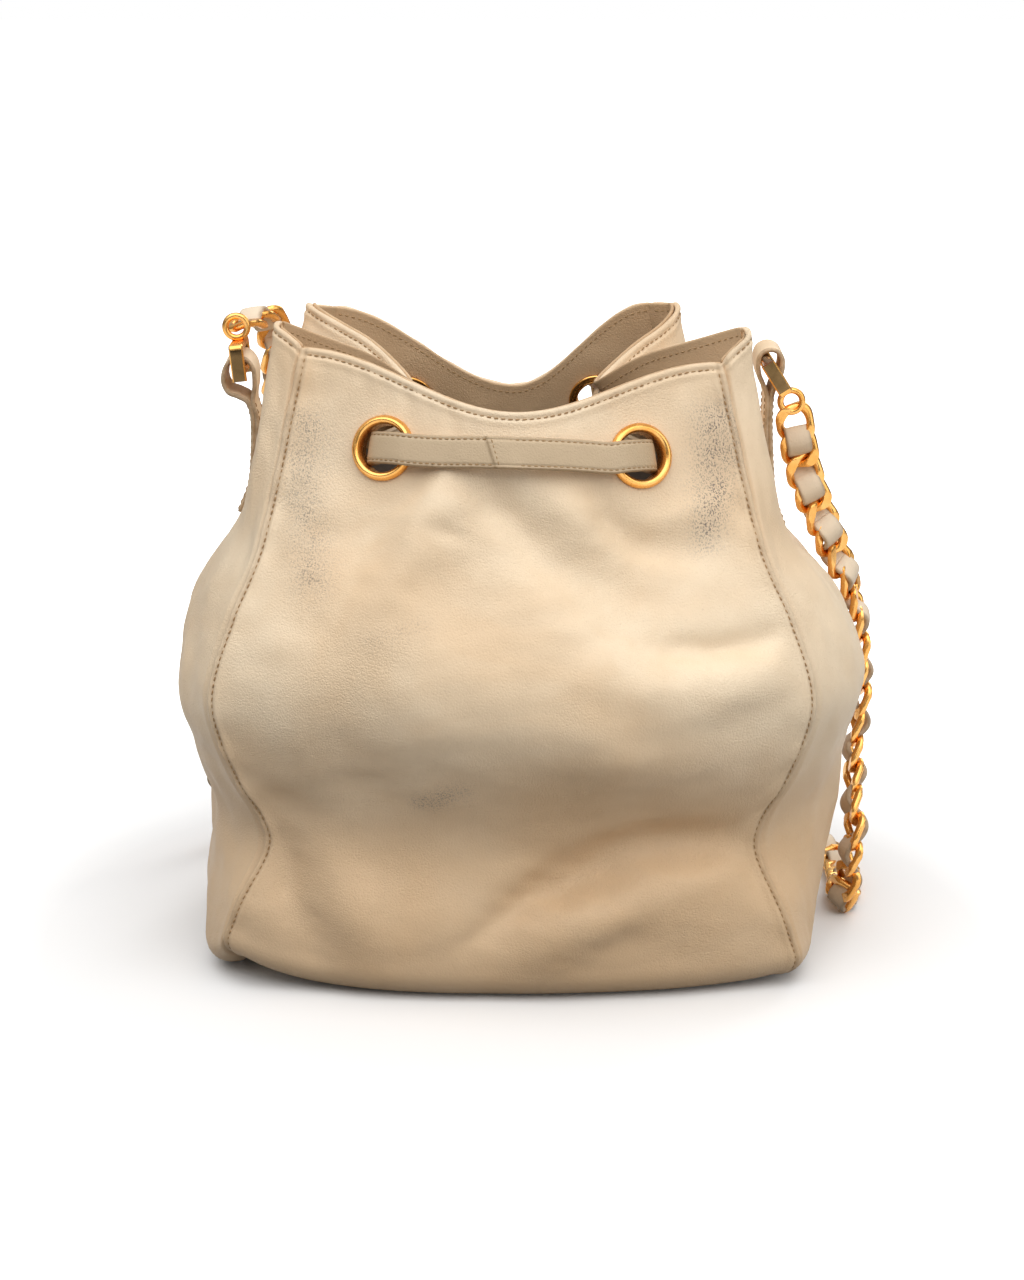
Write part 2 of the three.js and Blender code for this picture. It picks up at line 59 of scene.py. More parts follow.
# ---------- dimensions, as in the CAD model
HEIGHT = 208.0
LEATHER = 1.6
ROLL = 10.4  # radius at which the walls turn under the base
BASE_HALF_X, BASE_HALF_Y = 95.0, 62.0
GUSSET_HALF = 62  # about half the width of a gusset, measured along its folds
EYELET_X, EYELET_T = 40.0, 0.885
EYELET_BORE, EYELET_RIM, EYELET_PROUD = 7.5, 10.3, 2.4
EYELET_FLAT = (11.5, 22.0)  # the leather is flat within the first radius and free beyond the second
EYELET_HOLE = 8.9
CORD_WIDTH, CORD_THICK = 10.0, 2.4
LINK_PITCH, LINKS_PER_RUN, RUNS = 9.3, 3, 13
RUN = LINK_PITCH * LINKS_PER_RUN
STITCH_PITCH = 2.2
SEAM_INSET, RIM_INSET = 1.9, 2.3  # how far in from a seam or the rim its stitches run
TABLE_GAP = 0.05  # nothing of the walls comes nearer to the table


# ---------- maths
def smooth(lo, hi, v):
    """A soft step from 0 at lo to 1 at hi."""
    k = np.clip((v - lo) / (hi - lo), 0, 1)
    return k * k * (3 - 2 * k)


def bell(v, width):
    """A bell curve: 1 at v = 0, falling to nothing over about two widths."""
    return np.exp(-((v / width) ** 2))


def mix(a, b, k):
    return a + (b - a) * k


def unit(v):
    return v / np.maximum(np.linalg.norm(v, axis=-1, keepdims=True), 1e-12)


def profile(*knots):
    """A smooth curve through (place, value) knots."""
    t, v = np.array(knots, float).T
    near = np.arange(len(t))
    a, b = np.maximum(near - 1, 0), np.minimum(near + 1, len(t) - 1)
    slope = (v[b] - v[a]) / (t[b] - t[a])

    def at(x):
        i = np.searchsorted(t[1:-1], x, side="left")
        h = t[i + 1] - t[i]
        k = np.clip((x - t[i]) / h, 0, 1)
        k2, k3 = k**2, k**3
        ends = (2 * k3 - 3 * k2 + 1) * v[i] + (3 * k2 - 2 * k3) * v[i + 1]
        return ends + (k3 - 2 * k2 + k) * h * slope[i] + (k3 - k2) * h * slope[i + 1]

    return at


def curve_through(knots, k):
    """Catmull-Rom through a list of arrays, at shares k from 0 to 1."""
    stack = np.stack([2 * knots[0] - knots[1], *knots, 2 * knots[-1] - knots[-2]])
    spans = len(knots) - 1
    place = np.clip(k, 0, 1) * spans
    i = np.minimum(place.astype(int), spans - 1)
    w = (place - i)[..., None]
    if stack.ndim == 2:
        a, b, c, d = (stack[i + j] for j in range(4))
    else:
        a, b, c, d = (np.take_along_axis(stack, (i + j)[None, ..., None], 0)[0] for j in range(4))
    m0, m1 = (c - a) / 2, (d - b) / 2
    return b + w * (m0 + w * ((3 * (c - b) - 2 * m0 - m1) + w * (2 * (b - c) + m0 + m1)))


def along_of(points):
    return unit(np.gradient(points, axis=0))


def distances(points):
    """How far along a line each of its points lies."""
    return np.concatenate([[0], np.cumsum(np.linalg.norm(np.diff(points, axis=0), axis=1))])


def read_at(s, along, rows):
    """Rows given at distances along a line, read at distances s."""
    return np.stack([np.interp(s, along, column) for column in rows.T], -1)


def resampled(points, vectors, step):
    """A line and the directions it carries, at even steps, with the distance along it."""
    along = distances(points)
    s = np.linspace(0, along[-1], max(2, int(round(along[-1] / step)) + 1))
    return read_at(s, along, points), unit(read_at(s, along, vectors)), s


def distance_to_path(x, y, path):
    """Distance to a polyline, and how far along it the nearest point lies (0 to 1)."""
    best, share = np.full(x.shape, 1e9), np.zeros(x.shape)
    path = np.array(path, float)
    starts = distances(path) / distances(path)[-1]
    for i, (a, b) in enumerate(zip(path[:-1], path[1:])):
        d = b - a
        k = np.clip(((x - a[0]) * d[0] + (y - a[1]) * d[1]) / (d @ d), 0, 1)
        r = np.hypot(x - a[0] - k * d[0], y - a[1] - k * d[1])
        share = np.where(r < best, mix(starts[i], starts[i + 1], k), share)
        best = np.minimum(r, best)
    return best, share


def ripple(x, y, seed, size):
    """Smooth uneven height, about -1 to 1, with features of roughly the given size."""
    rng = np.random.default_rng(seed)
    total = np.zeros(np.broadcast(x, y).shape)
    for octave in range(3):
        for _ in range(6):
            turn, shift = rng.uniform(0, 2 * np.pi, 2)
            wave = 2 * np.pi / (size * rng.uniform(0.8, 1.5) / 2**octave)
            total += np.sin(wave * (x * np.cos(turn) + y * np.sin(turn)) + shift) / 2.2**octave
    return total / 4.0


# ---------- the bag's shape, as in the CAD model
# Each profile runs from the foot (0) to the rim (1).
seam_x = profile((0, 97), (0.12, 89), (0.24, 80), (0.36, 90), (0.48, 96), (0.6, 89), (0.69, 81), (0.8, 75),
                 (0.89, 71), (1, 66))
seam_y = profile((0, 56), (0.12, 58), (0.24, 53), (0.38, 61), (0.48, 64), (0.6, 60), (0.75, 50), (0.88, 43),
                 (1, 38))
crown = {
    -1: profile((0, 14), (0.24, 15), (0.45, 22), (0.65, 21), (0.85, 21), (1, 19)),
    1: profile((0, 12), (0.24, 14), (0.45, 18), (0.65, 15), (0.85, 12), (1, 10)),
}
fold_out = {
    1: profile((0, 3), (0.15, 13), (0.24, 19), (0.36, 17), (0.5, 16), (0.62, 13), (0.72, 8), (0.85, 7), (1, 7)),
    -1: profile((0, 6), (0.1, 10), (0.24, 17), (0.36, 13), (0.5, 11), (0.62, 12), (0.72, 8), (0.85, 7), (1, 7)),
}
fold_y = profile((0, 0.6), (0.6, 0.55), (0.8, 0.68), (1, 0.76))
middle_x = {
    1: profile((0, 97), (0.1, 103), (0.22, 110), (0.35, 114), (0.46, 117), (0.55, 113), (0.62, 103),
               (0.69, 88), (0.76, 74), (0.85, 55), (0.93, 41), (1, 29)),
    -1: profile((0, 98), (0.08, 104), (0.22, 102), (0.34, 103), (0.46, 108), (0.54, 108), (0.62, 103),
                (0.69, 92), (0.76, 79), (0.85, 59), (0.93, 45), (1, 35)),
}
PANEL_SAG = {-1: (2.8, 2.8, 17.6), 1: (0, -6, 26)}  # at the left seam, the right seam and the middle
gusset_sag = {
    1: profile((-1, 2.8), (-0.75, -4), (-0.5, -7.4), (-0.25, 2), (0, 15), (0.25, 3), (0.5, -6), (0.75, -6.5),
               (1, -6)),
    -1: profile((-1, 2.8), (-0.75, -2), (-0.5, -3.7), (-0.25, 5), (0, 17), (0.25, 6), (0.5, -1), (0.75, -0.5),
                (1, 0)),
}
SAG_FROM, LEAN = 0.55, 0.037
DRAWN_IN = {-1: 0.08, 1: 0.28}
CORNER_LIFT = {-1: 10.0, 1: 2.5}


def height_at(x, t, sag, lift):
    low = ROLL * (1 - np.cos(np.minimum(t * HEIGHT, ROLL) * np.pi / (2 * ROLL)))
    rolled = np.where(t * HEIGHT < ROLL, low, t * HEIGHT)
    return rolled - (sag + LEAN * x) * smooth(SAG_FROM, 1, t) + lift * (1 - smooth(0, 0.3, t))


def roll_under(p, t):
    """Turns the foot of a wall in under the base."""
    inset = ROLL * (1 - np.sin(np.minimum(t * HEIGHT * np.pi / (2 * ROLL), np.pi / 2)))
    return p * np.stack([1 - inset / BASE_HALF_X, 1 - inset / BASE_HALF_Y, np.ones_like(inset)], -1)


def draw_in(p, t):
    """Narrows the back of the mouth, as the drawstring does."""
    share = smooth(5, 38, p[..., 1]) * smooth(0.5, 1, t)
    narrower = 1 - np.where(p[..., 0] < 0, DRAWN_IN[-1], DRAWN_IN[1]) * share
    return p * np.stack([narrower, np.ones_like(narrower), np.ones_like(narrower)], -1)


def panel_shape(way, a, t):
    """The front (way -1) or back (way 1) panel, from seam to seam (a from -1 to 1) and foot to rim."""
    wave = np.cos(a * np.pi / 2) ** 2
    bow = mix(1 - a * a, wave, smooth(0.5, 0.85, t))
    x = a * seam_x(t)
    corner = np.where(a < 0, CORNER_LIFT[-1], CORNER_LIFT[1]) * np.abs(a) ** 5
    left, right, middle = PANEL_SAG[way]
    sag = mix(np.where(a < 0, left, right), middle, wave)
    z = height_at(x, t, sag, corner if way < 0 else 0 * corner)
    return draw_in(roll_under(np.stack([x, way * (seam_y(t) + crown[way](t) * bow), z], -1), t), t)


def gusset_shape(side, b, t):
    """The left (side -1) or right (side 1) gusset, from its front seam to its back one (b from -1 to 1)."""
    edge, near = seam_x(t), seam_y(t)
    fold_x, fold_at = edge + fold_out[side](t), near * fold_y(t)
    plan_knots = [np.stack(p, -1) for p in ((edge, -near), (fold_x, -fold_at), (middle_x[side](t), 0 * t),
                                            (fold_x, fold_at), (edge, near))]
    plan = curve_through(plan_knots, (b + 1) / 2)
    x = side * plan[..., 0]
    lift = np.where(b < 0, CORNER_LIFT[side] * np.abs(b) ** 5, 0)
    z = height_at(x, t, gusset_sag[side](b), lift)
    return draw_in(roll_under(np.stack([x, plan[..., 1], z], -1), t), t)


def sample(shape, sign, u, t):
    """Points of a surface with their outward normals, and the directions across and up it."""
    u, t = np.broadcast_arrays(np.asarray(u, float), np.asarray(t, float))
    e = 1e-3
    across = shape(np.minimum(u + e, 1), t) - shape(np.maximum(u - e, -1), t)
    up = shape(u, np.minimum(t + e, 1)) - shape(u, np.maximum(t - e, 0))
    return shape(u, t), sign * unit(np.cross(across, up)), unit(across), unit(up)


def panel_place(way, x, t):
    """The point x mm across a panel at height t, with its normal and the direction up the panel."""
    p, n, _, up = sample(partial(panel_shape, way), -way, x / seam_x(np.array(t)), t)
    return p, n, up


class Eyelet:
    """Where an eyelet sits: its centre and its outward, upward and inward directions."""

    def __init__(self, face, hand):
        self.way, side = PANELS[face], HANDS[hand]
        self.p, self.n, self.up = panel_place(self.way, side * EYELET_X, EYELET_T)
        across = unit(np.cross(self.up, self.n))
        self.inward = -across if across[0] * side > 0 else across

    def beside(self, inward, out):
        return self.p + self.inward * inward + self.n * out


eyelets = {(face, hand): Eyelet(face, hand) for face in PANELS for hand in HANDS}


def panel_point(way, a, t):
    """The panel's surface, with the leather pulled flat under each eyelet."""
    p = panel_shape(way, a, t)
    for e in eyelets.values():
        off = p - e.p
        share = 1 - smooth(*EYELET_FLAT, np.linalg.norm(off, axis=-1))
        p = p - (share * (off @ e.n))[..., None] * e.n
    return p


surfaces = {
    "front": (partial(panel_point, -1), 1), "back": (partial(panel_point, 1), -1),
    "left": (partial(gusset_shape, -1), -1), "right": (partial(gusset_shape, 1), 1),
}


# ---------- mesh building
def make_object(name, points, faces, material):
    """A smoothly shaded Blender object from points in millimetres."""
    mesh = bpy.data.meshes.new(name)
    mesh.from_pydata((np.asarray(points, float) * MM).tolist(), [], [list(map(int, f)) for f in faces])
    mesh.validate()
    mesh.polygons.foreach_set("use_smooth", np.ones(len(mesh.polygons), bool))
    mesh.materials.append(material)
    obj = bpy.data.objects.new(name, mesh)
    bpy.context.scene.collection.objects.link(obj)
    return obj


def leather_object(name, points, faces, skin, wear=0.0, scuff=0.0):
    """A leather piece, with how worn and how scuffed it is at each point for its material to read."""
    obj = make_object(name, points, faces, skin)
    for attribute, values in (("wear", wear), ("scuff", scuff)):
        layer = obj.data.attributes.new(attribute, "FLOAT", "POINT")
        layer.data.foreach_set("value", np.broadcast_to(np.asarray(values, np.float32).ravel(), len(points)))
    return obj


def settle(obj, body="bag", stands_for=()):
    """Puts a piece on its body, in place of its CAD nodes."""
    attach(obj, body)
    if stands_for:
        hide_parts(*stands_for)


def join_parts(parts):
    """One (points, faces) pair from several."""
    points, faces, count = [], [], 0
    for p, f in parts:
        points.append(np.asarray(p, float))
        faces += [[i + count for i in face] for face in f]
        count += len(p)
    return np.concatenate(points), faces


def tube_faces(rings, count, closed=False):
    """The faces of a tube of rings with count points each: joined end to start if closed, else capped."""
    faces = []
    for a in range(rings if closed else rings - 1):
        here, after = a * count, (a + 1) % rings * count
        faces += [[here + i, here + (i + 1) % count, after + (i + 1) % count, after + i] for i in range(count)]
    if not closed:
        faces += [list(range(count))[::-1], list(range((rings - 1) * count, rings * count))]
    return faces


def grid_faces(columns, keep, flip, offset=0):
    """Quads for the kept cells of a grid of points with the given number of columns."""
    j, i = np.nonzero(keep)
    a = j * columns + i + offset
    quads = np.stack([a, a + 1, a + 1 + columns, a + columns], -1)
    return quads[:, ::-1] if flip else quads


def closed_sheet(surface, us, ts, raised, depth, holes=(), nose=3):
    """A closed sheet of leather on a grid, with rounded edges and a round hole for each eyelet in holes.

    Its outer face stands raised mm over the surface and its inner face lies depth mm under it. Both are
    functions of u, t and the surface's points. Returns points, faces and (u, t, 0 outside or 1 inside) at each
    point."""
    shape, sign = surface
    t, u = np.meshgrid(ts, us, indexing="ij")
    p, n, across, up = sample(shape, sign, u, t)
    h, d = raised(u, t, p), depth(u, t, p)
    k = np.arange(1, nose + 1) / nose * np.pi / 2
    turns_u, turns_t = (np.concatenate([-k[::-1], np.zeros(len(v)), k]) for v in (us, ts))
    i, j = (np.clip(np.arange(len(v) + 2 * nose) - nose, 0, len(v) - 1) for v in (us, ts))
    jj, ii = np.meshgrid(j, i, indexing="ij")
    tt, tu = np.meshgrid(turns_t, turns_u, indexing="ij")
    p, n, across, up, h, d, u, t = (v[jj, ii] for v in (p, n, across, up, h, d, u, t))
    r = (h + d) / 2
    c = np.cos(tt) * np.cos(tu)
    shift = (r * np.sin(tu))[..., None] * across + (r * np.sin(tt))[..., None] * up
    outer = p + (h - r * (1 - c))[..., None] * n + shift
    inner = p + (r * (1 - c) - d)[..., None] * n + shift
    rows, columns = c.shape
    keep = np.ones((rows - 1, columns - 1), bool)
    middle = (p[:-1, :-1] + p[1:, 1:] + p[1:, :-1] + p[:-1, 1:]) / 4
    for e in holes:
        off = middle - e.p
        keep &= np.linalg.norm(off - (off @ e.n)[..., None] * e.n, axis=-1) > EYELET_HOLE
    count = rows * columns
    points = np.concatenate([outer.reshape(-1, 3), inner.reshape(-1, 3)])
    faces = [*grid_faces(columns, keep, sign < 0), *grid_faces(columns, keep, sign > 0, count),
             *hole_walls(keep, columns, count, sign)]
    for e in holes:
        snap_hole(points, keep, columns, count, e)
    points[:, 2] = np.maximum(points[:, 2], TABLE_GAP)
    same = np.arange(2 * count)
    border = (np.abs(c) < 1e-9).ravel()
    same[count:][border] = np.arange(count)[border]
    faces = [[same[v] for v in f] for f in faces]
    used = np.unique([v for f in faces for v in f])
    index = np.full(2 * count, -1)
    index[used] = np.arange(len(used))
    faces = [list(dict.fromkeys(index[v] for v in f)) for f in faces]
    grid = np.concatenate([np.stack([u, t, 0 * u + inside], -1).reshape(-1, 3) for inside in (0, 1)])
    return points[used], [f for f in faces if len(f) > 2], grid[used]


def hole_edges(keep):
    """Grid edges round the removed cells, as pairs of (row, column), with the kept cell on the left."""
    rows, columns = keep.shape
    beside = ((-1, 0, (0, 1), (0, 0)), (1, 0, (1, 0), (1, 1)), (0, -1, (0, 0), (1, 0)), (0, 1, (1, 1), (0, 1)))
    edges = []
    for j, i in zip(*np.nonzero(~keep)):
        for down, right, start, end in beside:
            row, column = j + down, i + right
            if 0 <= row < rows and 0 <= column < columns and keep[row, column]:
                edges.append(((j + start[0], i + start[1]), (j + end[0], i + end[1])))
    return edges


def hole_walls(keep, columns, count, sign):
    """Quads from the outer face to the inner one round each hole."""
    walls = []
    for (ja, ia), (jb, ib) in hole_edges(keep):
        a, b = ja * columns + ia, jb * columns + ib
        wall = [b, a, a + count, b + count]
        walls.append(wall if sign > 0 else wall[::-1])
    return walls


def snap_hole(points, keep, columns, count, e):
    """Draws the ragged border of a hole onto a circle round its eyelet."""
    for j, i in {corner for edge in hole_edges(keep) for corner in edge}:
        for v in (j * columns + i, j * columns + i + count):
            off = points[v] - e.p
            out = off @ e.n
            flat = off - out * e.n
            r = np.linalg.norm(flat)
            if r < 2 * EYELET_HOLE:
                points[v] = e.p + out * e.n + flat * EYELET_HOLE / r


def places(length, fine, coarse, border):
    """Places from 0 to 1 along a length in mm: finely spaced near both ends, coarsely between."""
    edge = np.arange(0, border, fine) / length
    middle = np.linspace(border, length - border, max(2, int((length - 2 * border) / coarse))) / length
    return np.concatenate([edge, middle, 1 - edge[::-1]])


# ---------- stitches
STITCH_SIDES = 6
# Shares of the stitch's half length and of its radius.
STITCH_RINGS = ((-1, 0.35), (-0.82, 0.85), (-0.3, 1), (0.3, 1), (0.82, 0.85), (1, 0.35))


def stitch_parts(points, normals, pitch=STITCH_PITCH, long=1.5, thick=0.46, slant=0.0, seed=0):
    """Capsule-shaped stitches at even steps along a line of points."""
    points, normals = np.asarray(points), np.asarray(normals)
    along = distances(points)
    count = max(1, int(along[-1] / pitch))
    s = (np.arange(count) + 0.5) * along[-1] / count
    ahead = unit(read_at(s + 0.3, along, points) - read_at(s - 0.3, along, points))
    rng = np.random.default_rng(seed)
    angle = np.arange(STITCH_SIDES) * np.pi / 3
    faces = tube_faces(len(STITCH_RINGS), STITCH_SIDES)
    parts = []
    for p, d, n in zip(read_at(s, along, points), ahead, unit(read_at(s, along, normals))):
        side = unit(np.cross(n, d))
        d = unit(d + slant * side + side * rng.normal(0, 0.05))
        side = np.cross(n, d)
        half = long / 2 * rng.uniform(0.9, 1.06)
        rings = []
        for place, r in STITCH_RINGS:
            centre = p + d * (place * half) + n * (0.12 * (1 - place * place) - 0.02)
            spokes = np.outer(np.cos(angle), side) + 0.8 * np.outer(np.sin(angle), n)
            rings.append(centre + thick / 2 * r * spokes)
        parts.append((np.concatenate(rings), faces))
    return parts


def sew(name, parts, body="bag"):
    settle(make_object(name, *join_parts(parts), THREAD), body)


# ---------- materials
WORN, SCUFFED = (0.30, 0.19, 0.10), (0.12, 0.10, 0.095)
# Painted shade: the walls' leather darkens towards the table, from nothing at the first height to full at the
# second.
LOW_SHADE_FROM, LOW_SHADE_FULL = 0.095, 0.045  # metres above the table
WHITE = (1.0, 1.0, 1.0)


class Nodes:
    """A node tree whose nodes are added in short lines."""

    def __init__(self, tree):
        self.tree = tree

    def feed(self, socket, value):
        if isinstance(value, bpy.types.NodeSocket):
            self.tree.links.new(value, socket)
        elif isinstance(value, tuple) and len(value) == 3 and socket.type == "RGBA":
            socket.default_value = (*value, 1)
        else:
            socket.default_value = value

    def node(self, kind, inputs=None, **settings):
        node = self.tree.nodes.new(kind)
        for key, value in settings.items():
            setattr(node, key, value)
        for key, value in (inputs or {}).items():
            self.feed(node.inputs[key], value)
        return node

    def ramp(self, value, low, high, to_low=0.0, to_high=1.0, **settings):
        inputs = {"Value": value, "From Min": low, "From Max": high, "To Min": to_low, "To Max": to_high}
        return self.node("ShaderNodeMapRange", inputs, **settings).outputs["Result"]


class Finish(Nodes):
    """A material, its patterns and its Principled shader."""

    def __init__(self, name, **principled):
        self.material = bpy.data.materials.new(name)
        self.material.use_nodes = True
        super().__init__(self.material.node_tree)
        self.place = self.node("ShaderNodeTexCoord").outputs["Object"]
        self.set(**principled)

    def set(self, **principled):
        for key, value in principled.items():
            self.feed(self.tree.nodes["Principled BSDF"].inputs[key.replace("_", " ")], value)

    def noise(self, scale, detail=3.0, rough=0.5, stretch=None, distortion=0.0):
        vector = self.place
        if stretch:
            vector = self.node("ShaderNodeMapping", {"Vector": vector, "Scale": stretch}).outputs[0]
        inputs = {"Vector": vector, "Scale": scale, "Detail": detail, "Roughness": rough,
                  "Distortion": distortion}
        return self.node("ShaderNodeTexNoise", inputs).outputs["Fac"]

    def patches(self, scale, detail, rough, low, high, to_low=0.0, to_high=1.0, **noise):
        """Noise stretched from the range low-high to to_low-to_high."""
        return self.ramp(self.noise(scale, detail, rough, **noise), low, high, to_low, to_high)

    def cells(self, scale, feature="F1"):
        node = self.node("ShaderNodeTexVoronoi", {"Vector": self.place, "Scale": scale}, feature=feature)
        return node.outputs["Distance"]

    def maths(self, operation, a, b):
        return self.node("ShaderNodeMath", {0: a, 1: b}, operation=operation).outputs[0]

    def times(self, a, b):
        return self.maths("MULTIPLY", a, b)

    def blend(self, share, a, b):
        return self.node("ShaderNodeMix", {0: share, 6: a, 7: b}, data_type="RGBA").outputs[2]

    def painted(self, attribute):
        return self.node("ShaderNodeAttribute", attribute_name=attribute).outputs["Fac"]

    def bump(self, height, distance, strength=1.0, normal=None):
        inputs = {"Height": height, "Distance": distance, "Strength": strength}
        if normal:
            inputs["Normal"] = normal
        return self.node("ShaderNodeBump", inputs).outputs["Normal"]


def darker(colour, share):
    return tuple(share * v for v in colour)


def leather_finish(name, light, deep, rough=0.5, grain=1.0, tan=0.0):
    """Smooth lambskin: mottled colour, pores, fine creases, painted wear and scuffs, and painted shade low
    down.
    """
    f = Finish(name)
    colour = f.blend(f.patches(14.0, 4.0, 0.55, 0.36, 0.66, distortion=0.6), light, deep)
    height = f.node("ShaderNodeSeparateXYZ", {0: f.place}).outputs["Z"]
    # Painted shade low down: the colour darkens towards the table, standing for the shade on the lower walls.
    low_shade_colour = tuple(v * share for v, share in zip(deep, (0.8, 0.7, 0.58)))
    colour = f.blend(f.ramp(height, LOW_SHADE_FROM, LOW_SHADE_FULL, 0.0, tan), colour, low_shade_colour)
    mottle = f.patches(95.0, 5.0, 0.6, 0.35, 0.75, 0.0, 0.22)
    colour = f.blend(mottle, colour, darker(deep, 0.86))
    flecks = f.patches(1100.0, 2.0, 0.5, 0.66, 0.76, 0.0, 0.14)
    colour = f.blend(flecks, colour, WORN)
    wear = f.times(f.painted("wear"), f.patches(260.0, 4.0, 0.6, 0.3, 0.62, 0.45, 1.0))
    colour = f.blend(wear, colour, WORN)
    dots = f.patches(2100.0, 3.0, 0.6, 0.5, 0.62, stretch=(1.0, 1.0, 0.7))
    cloud = f.patches(110.0, 4.0, 0.6, 0.3, 0.62, 0.25, 1.0)
    speckle = f.maths("ADD", f.times(f.times(dots, cloud), 1.1), 0.17)
    colour = f.blend(f.times(f.painted("scuff"), speckle), colour, SCUFFED)
    f.set(Base_Color=colour, Specular_IOR_Level=0.42,
          Roughness=f.patches(40.0, 3.0, 0.5, 0.3, 0.7, rough - 0.06, rough + 0.08))
    pores = f.ramp(f.cells(1150.0), 0.0, 0.55)
    creases = f.ramp(f.cells(1000.0, "DISTANCE_TO_EDGE"), 0.0, 0.22)
    creased = f.patches(22.0, 2.0, 0.5, 0.42, 0.62, 0.25, 1.0)
    fine = f.bump(pores, 0.00006 * grain, 0.8)
    fine = f.bump(f.times(creases, creased), 0.00012 * grain, 0.7, fine)
    f.set(Normal=f.bump(f.noise(130.0, 4.0, 0.6), 0.00022 * grain, 0.5, fine))
    return f.material


def gold_finish(name, light, deep, rough):
    """Gold plating with a little tarnish and fine scratches."""
    f = Finish(name, Metallic=1.0)
    colour = f.blend(f.patches(160.0, 3.0, 0.5, 0.35, 0.7), light, deep)
    tarnish = f.patches(420.0, 5.0, 0.7, 0.6, 0.8, 0.0, 0.3)
    f.set(Base_Color=f.blend(tarnish, colour, darker(deep, 0.5)),
          Roughness=f.patches(700.0, 4.0, 0.5, 0.3, 0.75, rough, rough + 0.14))
    scratches = f.noise(900.0, 3.0, 0.6, stretch=(1.0, 0.2, 1.0))
    f.set(Normal=f.bump(scratches, 0.00001, 0.2))
    return f.material


def thread_finish():
    f = Finish("thread", Roughness=0.75, Sheen_Weight=0.3)
    ply = f.noise(2600.0, 2.0)
    f.set(Base_Color=f.blend(ply, (0.27, 0.145, 0.05), (0.46, 0.28, 0.12)), Normal=f.bump(ply, 0.0001))
    return f.material


def lining_finish():
    f = Finish("lining", Roughness=0.72)
    tone = f.patches(30.0, 4.0, 0.5, 0.35, 0.7)
    f.set(Base_Color=f.blend(tone, (0.42, 0.36, 0.31), (0.30, 0.25, 0.21)),
          Normal=f.bump(f.cells(900.0), 0.00006, 0.6, f.bump(f.noise(90.0, 4.0), 0.0004, 0.4)))
    return f.material


def board_finish():
    f = Finish("board", Roughness=0.9)
    fibre = f.noise(420.0, 5.0, 0.7, stretch=(1.0, 3.0, 1.0))
    f.set(Base_Color=f.blend(fibre, (0.22, 0.15, 0.09), (0.36, 0.26, 0.17)), Normal=f.bump(fibre, 0.0002, 0.5))
    return f.material


# The walls' leather carries painted shade low down.
LEATHER_SKIN = leather_finish("leather", (0.87, 0.71, 0.51), (0.81, 0.60, 0.385), tan=0.62)
STRAP_SKIN = leather_finish("strap_leather", (0.60, 0.46, 0.30), (0.52, 0.385, 0.24), rough=0.56, grain=0.8)
LACE_SKIN = leather_finish("lace_leather", (0.84, 0.70, 0.53), (0.76, 0.61, 0.44), grain=0.8)
# The facing is the walls' leather painted darker and warmer: painted shade for the inside of the bag.
FACING_SHADED_SKIN = leather_finish("facing_leather_painted_shade", (0.72, 0.51, 0.31), (0.62, 0.41, 0.23), rough=0.6)
GOLD = gold_finish("gold", (0.97, 0.54, 0.17), (0.87, 0.42, 0.10), 0.18)
# A darker copy of the gold for the plates' mirror faces: a painted dark reflection.
PLATE_REFLECTION_GOLD = gold_finish("gold_painted_plate_reflection", (0.26, 0.16, 0.07), (0.16, 0.10, 0.04), 0.1)
THREAD = thread_finish()
LINING = lining_finish()
BOARD = board_finish()


# ---------- folds in the leather
# Each fold: its path in mm across and up the panel, half width, and height (below zero for a valley).
FOLDS = {
    "front": [
        ([(14, 92), (40, 86), (66, 84), (88, 86)], 13.8, 2.6),
        ([(-16, 188), (-19, 178), (-26, 162), (-36, 142), (-48, 118)], 10.1, 4.0),
        ([(-8, 186), (0, 170), (12, 153), (24, 138)], 7.8, -3.1),
        ([(10, 186), (16, 172), (28, 156)], 6.7, 1.6),
        ([(27, 178), (32, 163), (43, 153), (62, 148)], 5.6, -2.9),
        ([(52, 166), (62, 160), (72, 158)], 7.8, 1.3),
        ([(24, 150), (36, 138), (42, 122)], 12.3, -3.6),
        ([(88, 123), (68, 119), (52, 118), (38, 121)], 4.9, -2.7),
        ([(86, 111), (64, 106), (44, 108), (24, 116), (14, 126)], 9.5, 3.4),
        ([(-30, 178), (-42, 160), (-58, 140)], 7.8, -1.8),
        ([(-60, 170), (-66, 150), (-74, 132)], 7.8, 1.3),
        ([(-70, 112), (-30, 116), (14, 100), (50, 92), (84, 90)], 19.0, 1.8),
        ([(-50, 66), (-10, 62), (26, 66)], 16.8, -1.3),
        ([(-16, 20), (4, 34), (28, 47), (56, 52), (86, 53)], 6.7, -4.7),
        ([(6, 17), (34, 32), (62, 38), (88, 38)], 10.1, 3.6),
        ([(-94, 72), (-85, 61), (-78, 47), (-70, 28), (-58, 4)], 7.3, -3.0),
        ([(-60, 56), (-52, 34), (-44, 10)], 10.1, 2.5),
        ([(-84, 70), (-73, 64), (-60, 67)], 6.7, -2.2),
        ([(-54, 78), (-43, 73), (-32, 77)], 7.8, -1.6),
    ],
    "back": [
        ([(-36, 176), (-24, 160), (-6, 148), (16, 140)], 8.0, -2.2),
        ([(40, 172), (34, 150), (36, 126), (44, 104)], 9.0, 2.0),
        ([(-40, 172), (-46, 150), (-58, 130)], 8.0, 1.8),
        ([(-86, 118), (-50, 110), (-10, 114)], 6.0, -1.8),
        ([(88, 92), (50, 86), (14, 94)], 7.0, -2.0),
        ([(-70, 60), (-20, 70), (40, 62), (80, 70)], 11.0, 1.8),
        ([(60, 44), (20, 34), (-30, 42)], 8.0, -2.2),
        ([(0, 182), (2, 166), (-4, 150)], 9.0, 1.6),
    ],
}
RISE, DENT = 1.5, 1.2  # how much the ridges and the valleys are deepened
BEAD_STEP = 2.5
SEEDS = {"front": 11, "back": 47, "left": 89, "right": 91}
